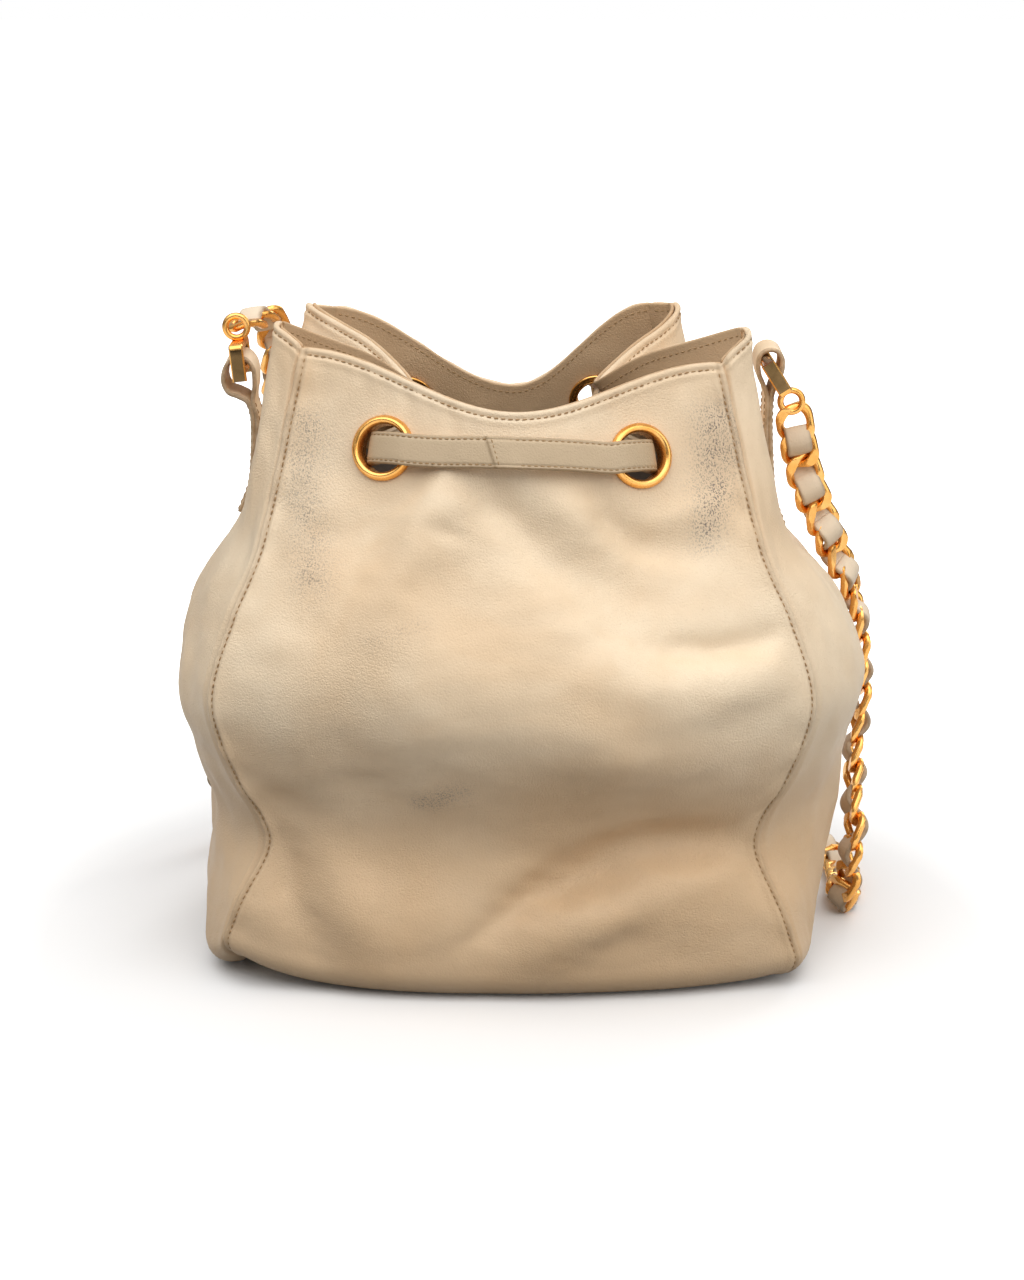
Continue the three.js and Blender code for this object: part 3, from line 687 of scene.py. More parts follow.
# Each scuff on the front: its path, half width, strength, and whether it fades at the ends of its path.
SCUFFS = [
    ([(-62, 194), (-65, 163), (-60, 126)], 7.0, 0.6, True),
    ([(63, 200), (64, 176), (60, 144)], 7.0, 0.85, True),
    ([(-28, 68), (-17, 73)], 4.0, 0.6, False),
    ([(-42, 122), (-28, 127)], 4.0, 0.25, False),
]
EDGE_WEAR = 0.9  # width of the worn line along a cut or turned edge


def ridge(x, h, path, width, height):
    """A soft ridge along a path, highest at its middle and fading to nothing at both ends."""
    knots = [np.array((*p, 0), float) for p in path]
    points, _, at = resampled(curve_through(knots, np.linspace(0, 1, 60)), np.ones((60, 3)), BEAD_STEP)
    total = np.zeros(np.broadcast(x, h).shape)
    for p, k in zip(points, at / at[-1]):
        spread = width * mix(0.8, 1.25, k)
        lift = height * min(1.0, 0.25 + 3.2 * k) * min(1.0, 3.0 * (1 - k) + 0.05)
        total += lift * BEAD_STEP / (spread * 1.77) * np.exp(-((x - p[0]) ** 2 + (h - p[1]) ** 2) / spread**2)
    return total


def fold_height(x, h, folds, seed):
    wander = 1.4 * ripple(x, h, seed, 34.0)
    total = sum(ridge(x + wander, h - wander, path, width, (RISE if height > 0 else DENT) * height)
                for path, width, height in folds)
    return total + 0.45 * ripple(x, h, seed + 50, 46.0) + 0.16 * ripple(x, h, seed + 70, 17.0)


def edge_profile(s, inset, edge_up, groove):
    """Height of a turned and stitched edge at s mm in from it: a raised border, a stitch groove, then flat."""
    return edge_up * (1 - smooth(inset + 0.5, inset + 3.4, s)) - groove * bell(s - inset, 0.55)


def pucker(s, along, seed, inset):
    """Small gathers that the stitches pull into the leather beside a seam."""
    rng = np.random.default_rng(seed)
    per_stitch = 0.09 * np.cos(2 * np.pi * along / STITCH_PITCH) * bell(s - inset, 1.3)
    waves = sum(np.sin(2 * np.pi * along / rng.uniform(6, 19) + rng.uniform(0, 6)) for _ in range(5)) / 5
    return per_stitch + 0.55 * waves * bell(s - inset - 1.5, 4.5)


def panel_waves(face, a, t, p):
    """The folds of a panel, which fade out at its seams, rim and eyelets."""
    edge, h = seam_x(t), t * HEIGHT
    near = smooth(2, 12, (1 - np.abs(a)) * edge) * smooth(3, 14, HEIGHT - h) * smooth(0, 14, h)
    for e in eyelets.values():
        if e.way == PANELS[face]:
            near = near * smooth(11, 24, np.linalg.norm(p - e.p, axis=-1))
    return fold_height(a * edge, h, FOLDS[face], SEEDS[face]) * near


def gusset_waves(hand, b, t, p):
    """The soft unevenness of a gusset, which fades out at its seams and rim."""
    h, across, seed = t * HEIGHT, b * GUSSET_HALF, SEEDS[hand]
    inner = smooth(0, 0.2, 1 - np.abs(b)) * smooth(2, 12, HEIGHT - h) * smooth(0, 16, h)
    return (1.1 * ripple(across * 1.6, h, seed, 70.0) + 0.35 * ripple(across, h, seed + 9, 22.0)) * inner


def waves(name, u, t, p):
    return (panel_waves if name in PANELS else gusset_waves)(name, u, t, p)


def rim_edge(rim, along, seed):
    return edge_profile(rim, RIM_INSET, 0.4, 0.55) + pucker(rim, along, seed, RIM_INSET)


def panel_edges(face, a, t):
    """The seams' and the rim's raised borders and gathers."""
    s, rim, seed = (1 - np.abs(a)) * seam_x(t), (1 - t) * HEIGHT, SEEDS[face]
    seam = edge_profile(s, SEAM_INSET, 0.55, 0.62) + pucker(s, t * HEIGHT, seed + 3, SEAM_INSET)
    return seam * smooth(1, 4, rim) + rim_edge(rim, a * seam_x(t), seed + 5) * smooth(0.5, 3, s)


def gusset_edges(hand, b, t):
    """The rim's raised border, and the gusset's edges tucked under the panels."""
    tuck = -1.1 * (1 - smooth(0.965, 0.93, np.abs(b)))
    return tuck * smooth(0.9, 1.0, np.abs(b)) + rim_edge((1 - t) * HEIGHT, b * GUSSET_HALF, SEEDS[hand] + 5)


def outer_face(name, u, t, p):
    return waves(name, u, t, p) + (panel_edges if name in PANELS else gusset_edges)(name, u, t)


def panel_marks(face, a, t):
    """Where a panel is worn along its edges, and where it is scuffed grey."""
    x, h = a * seam_x(t), t * HEIGHT
    s, rim = (1 - np.abs(a)) * seam_x(t), (1 - t) * HEIGHT
    wear = 0.55 * np.exp(-s / EDGE_WEAR) + 0.5 * np.exp(-rim / EDGE_WEAR) + 0.35 * bell(s - SEAM_INSET, 0.8)
    wear += 0.12 * smooth(0.2, 1.0, ripple(x, h, SEEDS[face] + 31, 60.0))
    scuff = np.zeros(len(x))
    for path, width, strength, fades in SCUFFS if face == "front" else ():
        away, share = distance_to_path(x, h, path)
        ends = smooth(0, 0.15, share) * smooth(0, 0.2, 1 - share) if fades else 1.0
        scuff += strength * bell(away, width) * ends
    return np.clip(wear, 0, 1), np.clip(scuff, 0, 1)


def gusset_marks(hand, b, t):
    seam = bell(1 - np.abs(b), 0.045)
    return 0.5 * np.exp(-(1 - t) * HEIGHT / EDGE_WEAR) + 0.3 * seam, 0 * b


# ---------- leather walls and lining
ROWS = places(HEIGHT, 0.5, 1.35, 6.5) * (1 - 1.0 / HEIGHT)
FACING_DEEP, CLOTH_FROM = 46.0, 44.0  # mm below the rim


def dent(name, u, t, p):
    """How far a wall's folds push every layer of it inwards."""
    return np.minimum(waves(name, u, t, p), 0.0)


def under(name, depth, u, t, p):
    return depth - dent(name, u, t, p)


def facing_face(name, u, t, p):
    """The outer face of a facing, with the groove of the rim's stitches."""
    return dent(name, u, t, p) - LEATHER - 0.35 - 0.5 * bell((1 - t) * HEIGHT - RIM_INSET, 0.8)


def cloth_face(name, u, t, p):
    return dent(name, u, t, p) - LEATHER - 0.5


def across_wall(span, *spacing):
    return span * (2 * places(*spacing) - 1)


def holes_in(name):
    return [e for (face, _), e in eyelets.items() if face == name]


def build_walls():
    """The two panels and the two gussets."""
    for name in surfaces:
        if name in PANELS:
            node, us, marks = f"{name}_panel", across_wall(0.988, 2 * 86.0, 0.45, 1.35, 5.5), panel_marks
        else:
            node, us, marks = f"gusset_{name}", across_wall(0.985, 150.0, 0.8, 1.35, 6.0), gusset_marks
        points, faces, grid = closed_sheet(surfaces[name], us, ROWS, partial(outer_face, name),
                                           partial(under, name, LEATHER), holes_in(name))
        u, t, inside = grid.T
        wear, scuff = (v * (1 - inside) for v in marks(name, u, t))
        settle(leather_object(f"{node}_leather", points, faces, LEATHER_SKIN, wear, scuff), stands_for=[node])


def build_lining():
    """A leather facing inside the rim, painted darker as the shade inside the bag, and a darker cloth lining
    below it.
    """
    facing_rows = 1 - places(FACING_DEEP, 0.5, 1.6, 5.0)[::-1] * FACING_DEEP / HEIGHT
    facing_rows = np.sort(np.clip(facing_rows - 0.3 / HEIGHT, 0, 1))
    cloth_rows = np.linspace(ROLL / HEIGHT, 1 - CLOTH_FROM / HEIGHT, 60)
    for name, surface in surfaces.items():
        us = across_wall(0.985 if name in PANELS else 0.955, 160.0, 0.9, 1.9, 6.0)
        points, faces, grid = closed_sheet(surface, us, facing_rows, partial(facing_face, name),
                                           partial(under, name, LEATHER + 1.5), holes_in(name))
        wear = 0.35 * np.exp(-(1 - grid[:, 1]) * HEIGHT)
        facing = leather_object(f"facing_{name}", points, faces, FACING_SHADED_SKIN, wear)
        settle(facing, stands_for=[f"lining_{name}"])
        points, faces, _ = closed_sheet(surface, us[::2], cloth_rows, partial(cloth_face, name),
                                        partial(under, name, LEATHER + 1.3))
        settle(make_object(f"lining_{name}_cloth", points, faces, LINING))


# ---------- base
def base_border(share):
    """The loop that the walls leave open underneath, with its lifted corners."""
    quarter = np.linspace(-1, 1, 61)[:-1]
    zero = np.zeros(60)
    loop = np.concatenate([panel_shape(-1, quarter, zero), gusset_shape(1, quarter, zero),
                           panel_shape(1, -quarter, zero), gusset_shape(-1, -quarter, zero)])
    return loop * (share, share, 1)


def base_sheet(name, share, z, thick, material, node):
    """A flat plate inside that loop, with rounded edges; it bends up a little where a corner is lifted."""
    border = base_border(share)
    below = [(k, 0.0) for k in np.linspace(0.04, 0.96, 22)] + [(0.985, 0.06), (0.996, 0.25), (1.0, 0.5)]
    rings = below + [(k, 1 - level) for k, level in below[::-1]]
    points = [border * (k, k, k**5) + (0, 0, z + level * thick) for k, level in rings]
    plate = leather_object(name, np.concatenate(points), tube_faces(len(rings), len(border)), material)
    settle(plate, stands_for=[node])


def build_base():
    base_sheet("base_leather", 0.985, 0.1, 1.7, LEATHER_SKIN, "base_panel")
    base_sheet("base_stiffener", 0.93, 2.2, 2.2, BOARD, "base_board")
    base_sheet("base_lining_cloth", 0.9, 4.8, 1.0, LINING, "lining_base")
    share = 0.955
    border = base_border(share)
    points = np.concatenate([border, border[:1]]) * (1, 1, share**5) + (0, 0, 0.3)
    sew("base_stitches", stitch_parts(points, np.tile((0, 0, -1.0), (len(points), 1)), pitch=2.6))


# ---------- turned, swept and bent parts
def outward(points, faces):
    """The same closed mesh with its faces turned to point out."""
    volume = 0.0
    for size in {len(f) for f in faces}:
        same = np.array([f for f in faces if len(f) == size])
        for i in range(1, size - 1):
            a, b, c = points[same[:, 0]], points[same[:, i]], points[same[:, i + 1]]
            volume += np.sum(a * np.cross(b, c))
    return (points, faces) if volume > 0 else (points, [f[::-1] for f in faces])


def turned(outline, centre, axis, segments=64):
    """A closed ring turned from (radius, height) points about an axis."""
    axis = unit(np.asarray(axis, float))
    side = unit(np.cross(axis, (0.3, 1.0, 0.2)))
    angle = np.arange(segments) * 2 * np.pi / segments
    spokes = np.outer(np.cos(angle), side) + np.outer(np.sin(angle), np.cross(axis, side))
    points = np.concatenate([centre + r * spokes + h * axis for r, h in outline])
    return outward(points, tube_faces(len(outline), segments, closed=True))


def smooth_path(knots, vectors, step):
    """An evenly stepped curve through knots, carrying a direction with it."""
    k = np.linspace(0, 1, 24 * len(knots))
    knots, vectors = np.asarray(knots, float), np.asarray(vectors, float)
    return resampled(curve_through(list(knots), k), curve_through(list(vectors), k), step)


def swept(points, wide, section):
    """A section of (across, out) points carried along a path: points, faces, across and out directions."""
    along = along_of(points)
    out = unit(np.cross(along, wide))
    wide = np.cross(out, along)
    rings = points[:, None] + section[:, :1] * wide[:, None] + section[:, 1:] * out[:, None]
    return *outward(rings.reshape(-1, 3), tube_faces(*rings.shape[:2])), wide, out


def band_section(width, thick, groove_in=0.0, groove=0.0, dome=0.0):
    """A flat strap's section: rounded edges, a slight dome, and stitch grooves near both edges."""
    w = np.concatenate([np.linspace(-1, -0.62, 10), np.linspace(-0.5, 0.5, 7), np.linspace(0.62, 1, 10)])
    rounded = 0.8 * thick / width
    edge = np.clip((np.abs(w) - (1 - rounded)) / rounded, 0, 1)
    half = thick / 2 * np.sqrt(np.maximum(1 - edge**2, 0.0)) + dome * (1 - w**2)
    half = half - groove * bell(np.abs(w) * width / 2 - (width / 2 - groove_in), 0.4) * (edge < 0.9)
    half[[0, -1]] = 0.02
    top = np.stack([w * width / 2, half], -1)
    return np.concatenate([top, (top * (1, -1))[::-1]])[::-1]


def edge_wear(section, steps, strength, width):
    """Wear along both edges of a strap whose section is carried over a number of steps."""
    inset = section[:, 0].max() - np.abs(section[:, 0])
    return strength * bell(np.tile(inset, steps), width)


def bevelled_box(width, thick, bevel):
    """A rectangle's outline with its corners cut."""
    corners = []
    for k, (x, y) in enumerate(((1, 1), (-1, 1), (-1, -1), (1, -1))):
        angle = (k + np.linspace(0, 1, 2)) * np.pi / 2
        corners.append(np.stack([x * (width / 2 - bevel) + bevel * np.cos(angle),
                                 y * (thick / 2 - bevel) + bevel * np.sin(angle)], -1))
    return np.concatenate(corners)


def rotation_about_y(angle):
    c, s = math.cos(angle), math.sin(angle)
    return np.array([[c, 0, s], [0, 1, 0], [-s, 0, c]])


# ---------- seams and eyelets
def path_on(surface, us, ts, raised):
    """Points along a line raised over a surface, with the surface's normals."""
    p, n, _, _ = sample(*surface, us, ts)
    return p + n * raised, n


def build_seams():
    """The stitches down the seams, and round the rim outside and inside."""
    parts = []
    t = np.linspace(0.03, 1 - 3.0 / HEIGHT, 260)
    for name in PANELS:
        for way in (-1, 1):
            line, normal = path_on(surfaces[name], way * (1 - SEAM_INSET / seam_x(t)), t, 0.06)
            parts += stitch_parts(line, normal, slant=0.12 * way, seed=7 + way)
    rim = np.full(200, 1 - RIM_INSET / HEIGHT)
    for name, surface in surfaces.items():
        u = np.linspace(-1, 1, 200) * (0.97 if name in PANELS else 0.9)
        for raised, facing, seed in ((0.0, 1, 21), (-LEATHER - 1.4, -1, 23)):
            line, normal = path_on(surface, u, rim, raised)
            parts += stitch_parts(line, facing * normal, slant=0.1, seed=seed)
    sew("seam_stitches", parts)


def build_eyelets():
    bore, rim = EYELET_BORE, EYELET_RIM
    ring = [(bore, -4.4), (bore, -0.4), (bore + 0.02, 0.8), (bore + 0.2, 1.5), (bore + 0.6, 2.05),
            (bore + 1.15, 2.35), (bore + 1.7, 2.3), (rim - 0.65, 1.85), (rim - 0.22, 1.25), (rim, 0.65),
            (rim - 0.02, 0.1), (rim - 0.5, -0.1), (bore + 1.2, 0.0), (bore + 0.7, -0.4), (bore + 0.7, -4.4),
            (bore + 0.35, -4.6)]
    washer = [(bore + 0.9, -4.6), (rim - 0.5, -4.55), (rim - 0.1, -4.3), (rim, -3.9), (rim - 0.2, -3.5),
              (bore + 0.9, -3.4)]
    for (face, hand), e in eyelets.items():
        for name, outline, node in (("eyelet_ring", ring, "eyelet"), ("washer_ring", washer, "eyelet_washer")):
            obj = make_object(f"{name}_{face}_{hand}", *turned(outline, e.p, e.n), GOLD)
            settle(obj, stands_for=[f"{node}_{face}_{hand}"])


# ---------- drawstring and tassels
CORD_INSET, CORD_STITCH = 1.1, dict(long=1.3, thick=0.36)
CORD_SECTION = band_section(CORD_WIDTH, 2.1, CORD_INSET, 0.28, 0.15)
PULL_TAIL, CORD_RISE = 24.0, 3.2
SPLICE_X, SPLICE_LONG, SPLICE_SLANT = -6.5, 4.2, 0.32  # the lap joint on the front
TASSEL_CAP, TASSEL_CAP_LONG, FRINGE_LONG = 5.5, 14.0, 46.0
DOWN = np.array([0, 0, -1.0])


def cord_stitches(points, wide, out, seed, faces):
    parts = []
    for face in faces:
        for edge in (-1, 1):
            line = points + wide * edge * (CORD_WIDTH / 2 - CORD_INSET) + out * face * 0.98
            parts += stitch_parts(line, out * face, 2.0, **CORD_STITCH, seed=seed + edge)
    return parts


def half_cord(hand):
    """The drawstring's knots from the middle of the front, through the front eyelet, to the back one."""
    side, front, back = HANDS[hand], eyelets["front", hand], eyelets["back", hand]
    lift = EYELET_PROUD + CORD_THICK / 2
    level = (eyelets["front", "left"].p[2] + eyelets["front", "right"].p[2]) / 2 + CORD_RISE
    knots = []
    for x in (0.4, 10, 20):
        p, n, _ = panel_place(-1, side * x, EYELET_T)
        p = p + n * (CORD_THICK / 2 + 1.6)
        knots.append(np.array([p[0], p[1], mix(level, front.p[2], x / EYELET_X)]))
    knots += [front.beside(12, lift + 0.8), front.beside(6.8, lift + 0.9), front.beside(0, 2.1),
              front.beside(-4.2, -1.5), front.beside(-5.2, -8), np.array([side * 34, -15, front.p[2] - 3]),
              np.array([side * 33, 2, front.p[2] - 4]), back.beside(0, -PULL_TAIL - 5),
              back.beside(0, -PULL_TAIL - 1)]
    return knots, [front.up] * 8 + [-DOWN] * 2 + [back.up] * 2


def build_drawstring():
    """The strap across the front, whose two ends overlap in a sewn lap joint."""
    (left, left_ups), (right, right_ups) = half_cord("left"), half_cord("right")
    points, wide, _ = smooth_path(left[:0:-1] + right[1:], left_ups[:0:-1] + right_ups[1:], 0.5)
    cord, faces, wide, out = swept(points, wide, CORD_SECTION)
    rings = cord.reshape(len(points), -1, 3)
    off = np.einsum("ijk,ik->ij", rings - points[:, None], out)
    across = np.einsum("ijk,ik->ij", rings - points[:, None], wide)
    slanted = rings[..., 0] + SPLICE_SLANT * across - SPLICE_X
    on_front = (rings[..., 1] < -40) & (off > 0.4)
    lap = smooth(-0.4, 0.1, slanted) * (1 - 0.75 * smooth(SPLICE_LONG, SPLICE_LONG + 6, slanted))
    rings = rings + (0.55 * lap * on_front)[..., None] * out[:, None]
    wear = 0.6 * bell(CORD_WIDTH / 2 - np.abs(across), 0.6) + 0.7 * bell(slanted, 0.35) * on_front
    strap = leather_object("drawstring_strap", rings.reshape(-1, 3), faces, STRAP_SKIN, wear)
    settle(strap, stands_for=["drawstring_left", "drawstring_right"])
    sew("drawstring_stitches", cord_stitches(points, wide, out, 31, (1,)))
    middle = int(np.argmin(np.abs(points[:, 0] - SPLICE_X - 1.2) + 1e3 * (points[:, 1] > -40)))
    w = np.linspace(-0.42, 0.42, 20) * CORD_WIDTH
    line = points[middle] + np.outer(w, wide[middle]) + np.outer(-SPLICE_SLANT * w, (1, 0, 0))
    line = line + out[middle] * 1.62
    normals = np.broadcast_to(out[middle], line.shape)
    sew("splice_stitches", stitch_parts(line, normals, 1.7, long=1.2, thick=0.36, seed=5))


def build_pull(hand):
    """The cord's end: out of the back eyelet, over a soft bend, and down to its tassel."""
    back = eyelets["back", hand]
    start = back.beside(0, 16.2)
    p, n, _ = panel_place(1, HANDS[hand] * 41, 0.56)
    to = p + n * 14
    down = unit(to - start)
    across = unit(np.cross(back.up, back.n))
    knots = [*(back.beside(0, out) for out in (-PULL_TAIL, -12, 0, 7)), back.beside(0, 12.5) + down * 0.4,
             start + down * 3.0, start + down * 9.0, mix(start, to, 0.6), to + down * -0.6]
    ups = [back.up] * 3 + [unit(back.up + across)] + [across] * 5
    points, wide, _ = smooth_path(knots, ups, 0.7)
    cord, faces, wide, out = swept(points, wide, CORD_SECTION)
    wear = edge_wear(CORD_SECTION, len(points), 0.6, 0.6)
    end = leather_object(f"cord_end_{hand}", cord, faces, STRAP_SKIN, wear)
    parts = cord_stitches(points, wide, out, 61, (-1, 1))
    stitches = make_object(f"cord_end_stitches_{hand}", *join_parts(parts), THREAD)
    bend = back.beside(0, 9.0) * MM, (start + down * 8.0) * MM
    for piece in (end, stitches):
        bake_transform(piece)
    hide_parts(f"drawstring_pull_{hand}", f"drawstring_tail_{hand}")
    build_tassel(hand, to)
    build_fringe(hand, to + DOWN * (TASSEL_CAP_LONG - 1.0))


def build_tassel(hand, top):
    """A bound leather cap with two grooves and two rows of stitches."""
    r, long, segments = TASSEL_CAP, TASSEL_CAP_LONG, 48
    outline = [(0.4, 0.2), (r * 0.45, 0.25), (r * 0.8, 0.9), (r, 2.4), (r + 0.12, 3.4), (r - 0.25, 3.8),
               (r - 0.25, 4.1), (r + 0.1, 4.5), (r + 0.15, long - 3.6), (r - 0.2, long - 3.2),
               (r - 0.2, long - 2.9), (r + 0.12, long - 2.5), (r + 0.15, long - 0.6), (r - 0.15, long),
               (0.4, long)]
    wear = np.repeat([0.1, 0.2, 0.3, 0.4, 0.3, 0.7, 0.7, 0.3, 0.3, 0.7, 0.7, 0.3, 0.4, 0.6, 0.2], segments)
    cap = leather_object(f"tassel_band_{hand}", *turned(outline, top, DOWN, segments), STRAP_SKIN, wear)
    settle(cap, f"tassel_{hand}", stands_for=[f"tassel_cap_{hand}"])
    angle = np.linspace(0, 2 * np.pi, 80)
    spokes = np.stack([np.cos(angle), np.sin(angle), 0 * angle], -1)
    parts = []
    for drop in (2.0, long - 1.4):
        parts += stitch_parts(top + spokes * (r + 0.14) + DOWN * drop, spokes, 2.0, seed=3)
    sew(f"tassel_stitches_{hand}", parts, f"tassel_{hand}")


def build_fringe(hand, top):
    """Three rings of cut leather strands, each a little uneven."""
    rng = np.random.default_rng(5 if hand == "left" else 6)
    section = bevelled_box(1.35, 0.8, 0.25)
    s = np.linspace(0, 1, 14)
    parts = []
    for layer, (r0, r1, count) in enumerate(((4.7, 7.7, 24), (3.2, 5.8, 18), (1.6, 3.4, 10))):
        for i in range(count):
            turn = 2 * np.pi * (i + 0.5 * layer) / count + rng.normal(0, 0.05)
            spoke = np.array([math.cos(turn), math.sin(turn), 0])
            side = np.array([-spoke[1], spoke[0], 0])
            long = (FRINGE_LONG + 1.0) * rng.uniform(0.93, 1.0)
            r = mix(r0, r1, s**0.7) + 0.35 * np.sin(s * rng.uniform(4, 8) + rng.uniform(0, 6)) * s
            sway = rng.normal(0, 0.5) * s**2 + 0.3 * np.sin(s * rng.uniform(5, 9)) * s
            points = top + np.outer(r, spoke) + np.outer(sway, side) + np.outer(-long * s, (0, 0, 1))
            wide = unit(side + spoke * rng.normal(0, 0.12))
            parts.append(swept(points, np.tile(wide, (len(s), 1)), section)[:2])
    strands = leather_object(f"tassel_strands_{hand}", *join_parts(parts), STRAP_SKIN, 0.25)
    settle(strands, f"tassel_{hand}", stands_for=[f"tassel_fringe_{hand}"])


# ---------- strap tabs and loops
TAB_WIDTH, TAB_TILT, TAB_STITCH_INSET = 15.0, 0.05, 1.6
# Each loop's bar, how far it swings at rest in degrees, and the (x, z) points of its tab's foot.
HANGERS = {
    "right": (np.array([84, 0, 196.0]), 33.0, [(89.2, 143), (85.6, 154), (84, 173)]),
    "left": (np.array([-88.5, 0, 194.0]), 174.0, [(-89.2, 148), (-85.2, 159), (-84, 177)]),
}
# Where the folded leather bulges round the bar: (outwards, up) from the bar's centre, outer side first.
LOBES = {
    "right": [(3.4, -2.5), (4.1, 1), (3.7, 3.8), (1.9, 5.8), (-0.8, 6.1), (-3.2, 4.6), (-3.9, 1.6), (-3.2, -3)],
    "left": [(0.8, -7.2), (4, -5.8), (5.6, -2), (4.6, 2.6), (1.6, 5.4), (-1.8, 5.2), (-4.2, 2), (-4.6, -3.5)],
}
NECK = {"right": 0.0, "left": 3.2}  # how far inwards of the bar the tab's neck stands
BAR_RADIUS, PLATE_LONG, PLATE_WIDE, PLATE_THICK, PLATE_BEVEL, PLATE_CORNER = 1.6, 12.0, 4.6, 2.5, 0.45, 0.5
EYE_RADIUS, EYE_WIRE, EYE_DROP = 3.6, 1.1, 14.5


def build_tab(hand):
    """A leather strip folded over the loop's bar, its two layers sewn together below it."""
    side, (bar, _, foot), gap = HANDS[hand], HANGERS[hand], 0.72
    rise = np.array([[x, 0, z] for x, z in foot] + [[bar[0] + NECK[hand], 0, bar[2] - 9.5]], float)
    along = along_of(rise)
    out = np.cross(along, (0, 1, 0)) * np.sign(np.cross(along[0], (0, 1, 0))[0] * side)
    arch = np.array([bar + (side * x, 0, z) for x, z in LOBES[hand]])
    knots = [*(rise + out * gap), *arch, *(rise - out * gap)[::-1]]
    points, wide, _ = smooth_path(knots, np.tile((0, 1.0, TAB_TILT), (len(knots), 1)), 0.7)
    section = band_section(TAB_WIDTH, 1.5, TAB_STITCH_INSET, 0.22)
    wear = edge_wear(section, len(points), 0.85, 0.8)
    tab = leather_object(f"tab_leather_{hand}", *swept(points, wide, section)[:2], LEATHER_SKIN, wear)
    settle(tab, stands_for=[f"strap_tab_{hand}"])
    parts, stitch_y = [], TAB_WIDTH / 2 - TAB_STITCH_INSET
    for normal in (out, -out):
        line, normals, _ = smooth_path(rise + normal * (gap + 0.68), normal, 0.8)
        for edge in (-1, 1):
            parts += stitch_parts(line + (0, edge * stitch_y, 0), normals, seed=edge + 4)
    sew(f"tab_stitches_{hand}", parts)


def build_loop(hand):
    """A polished rectangular loop: a bar through the tab, two side plates, a foot, and a ring for the chain."""
    bar, swing, _ = HANGERS[hand]
    y, corner = TAB_WIDTH / 2 + 1 + PLATE_THICK / 2, PLATE_CORNER
    foot = BAR_RADIUS + 0.4 - PLATE_LONG + 1.1
    down = [(-y, z) for z in np.linspace(2.0, foot + corner, 6)[:-1]]
    turn_in = [(-y + corner - corner * math.cos(a), foot + corner - corner * math.sin(a))
               for a in np.linspace(0, np.pi / 2, 5)]
    half = np.array(down + turn_in)
    across = np.stack([np.linspace(-y + corner, y - corner, 8)[1:-1], np.full(6, foot)], -1)
    path = np.concatenate([half, across, (half * (-1, 1))[::-1]])
    points = np.stack([0 * path[:, 0], path[:, 0], path[:, 1]], -1)
    frame_section = bevelled_box(PLATE_WIDE, PLATE_THICK, PLATE_BEVEL)
    rod = [(0.02, -y), (BAR_RADIUS, -y), (BAR_RADIUS, y), (0.02, y)]
    angle = np.linspace(0, 2 * np.pi, 17)[:-1]
    ring = [(EYE_RADIUS + EYE_WIRE * math.cos(a), EYE_WIRE * math.sin(a)) for a in angle]
    points, faces = join_parts([swept(points, np.tile((1.0, 0, 0), (len(points), 1)), frame_section)[:2],
                                turned(rod, np.zeros(3), (0, 1, 0), 24),
                                turned(ring, DOWN * EYE_DROP, (0, 1, 0), 48)])
    points = points @ rotation_about_y(math.radians(-HANDS[hand] * swing)).T + bar
    loop = make_object(f"hanger_loop_{hand}", points, faces, GOLD)
    sharpen(loop, 32.0)
    # Painted reflection: the plates' mirror faces get the darker gold.
    paint_plate_reflections(loop)
    settle(loop, f"loop_{hand}", [f"strap_loop_{hand}"])


def paint_plate_reflections(obj):
    """Gives the wide mirror faces of the side plates a darker gold than their bevels: a painted dark
    reflection.
    """
    obj.data.materials.append(PLATE_REFLECTION_GOLD)
    for polygon in obj.data.polygons:
        wide = polygon.area > 0.5 * PLATE_WIDE * MM**2 and len(polygon.vertices) == 4
        polygon.material_index = int(abs(polygon.normal.y) > 0.99 and wide)


def sharpen(obj, angle):
    """Flat faces stay flat in the shading where they meet at more than an angle in degrees."""
    obj.data.set_sharp_from_angle(angle=math.radians(angle))


# ---------- chain and lace
LINK_LONG, LINK_WIDE, WIRE, WIRE_MORE, TWIST, FACET = 5.85, 5.0, 1.35, 0.4, 1.5, 2.0
LINK_STEPS, WIRE_SIDES, RUN_STEPS = 44, 14, 90
FIRST_REACH, RING_TO_LINK = 16.25, 3.6
LACE_WIDTH, LACE_THICK, LACE_LIFT, LACE_FROM, LACE_SHIFT = 8.4, 1.6, 3.1, 9.5, 4.4


def run_frame(name):
    """The middle of one CAD run of chain, and its along and across directions."""
    points = np.array([v.co for v in frame["nodes"][name].data.vertices], float) / MM
    _, _, axes = np.linalg.svd(points - points.mean(0), full_matrices=False)
    spans = points @ axes.T
    middle = (spans.max(0) + spans.min(0)) / 2 @ axes
    along, across, _ = axes[np.argsort(-np.ptp(spans, axis=0))]
    return middle, along, across


def chain_line(hand):
    """Joint points along one half of the strap and its broad face's direction at each."""
    runs = [run_frame(f"chain_{hand}_{i:02d}") for i in range(1, RUNS + 1)]
    bar, swing, _ = HANGERS[hand]
    ends = [bar + rotation_about_y(math.radians(-HANDS[hand] * swing)) @ (DOWN * EYE_DROP)]
    guide = np.array([0, -1.0, 0]) if hand == "right" else -DOWN
    faces = []
    for k, (middle, along, across) in enumerate(runs):
        ahead = runs[k + 1][0] - middle if k + 1 < RUNS else middle - runs[k - 1][0]
        along = along if along @ ahead > 0 else -along
        face = np.cross(along, across)
        guide = face if face @ guide > 0 else -face
        faces.append(guide)
        start = middle - along * (FIRST_REACH if k == 0 else RUN / 2)
        if k:
            ends.append(start)
    ends.append(start + along * RUN)
    between = [unit(a + b) for a, b in zip(faces[:-1], faces[1:])]
    return np.array(ends), np.array([faces[0], *between, faces[-1]])


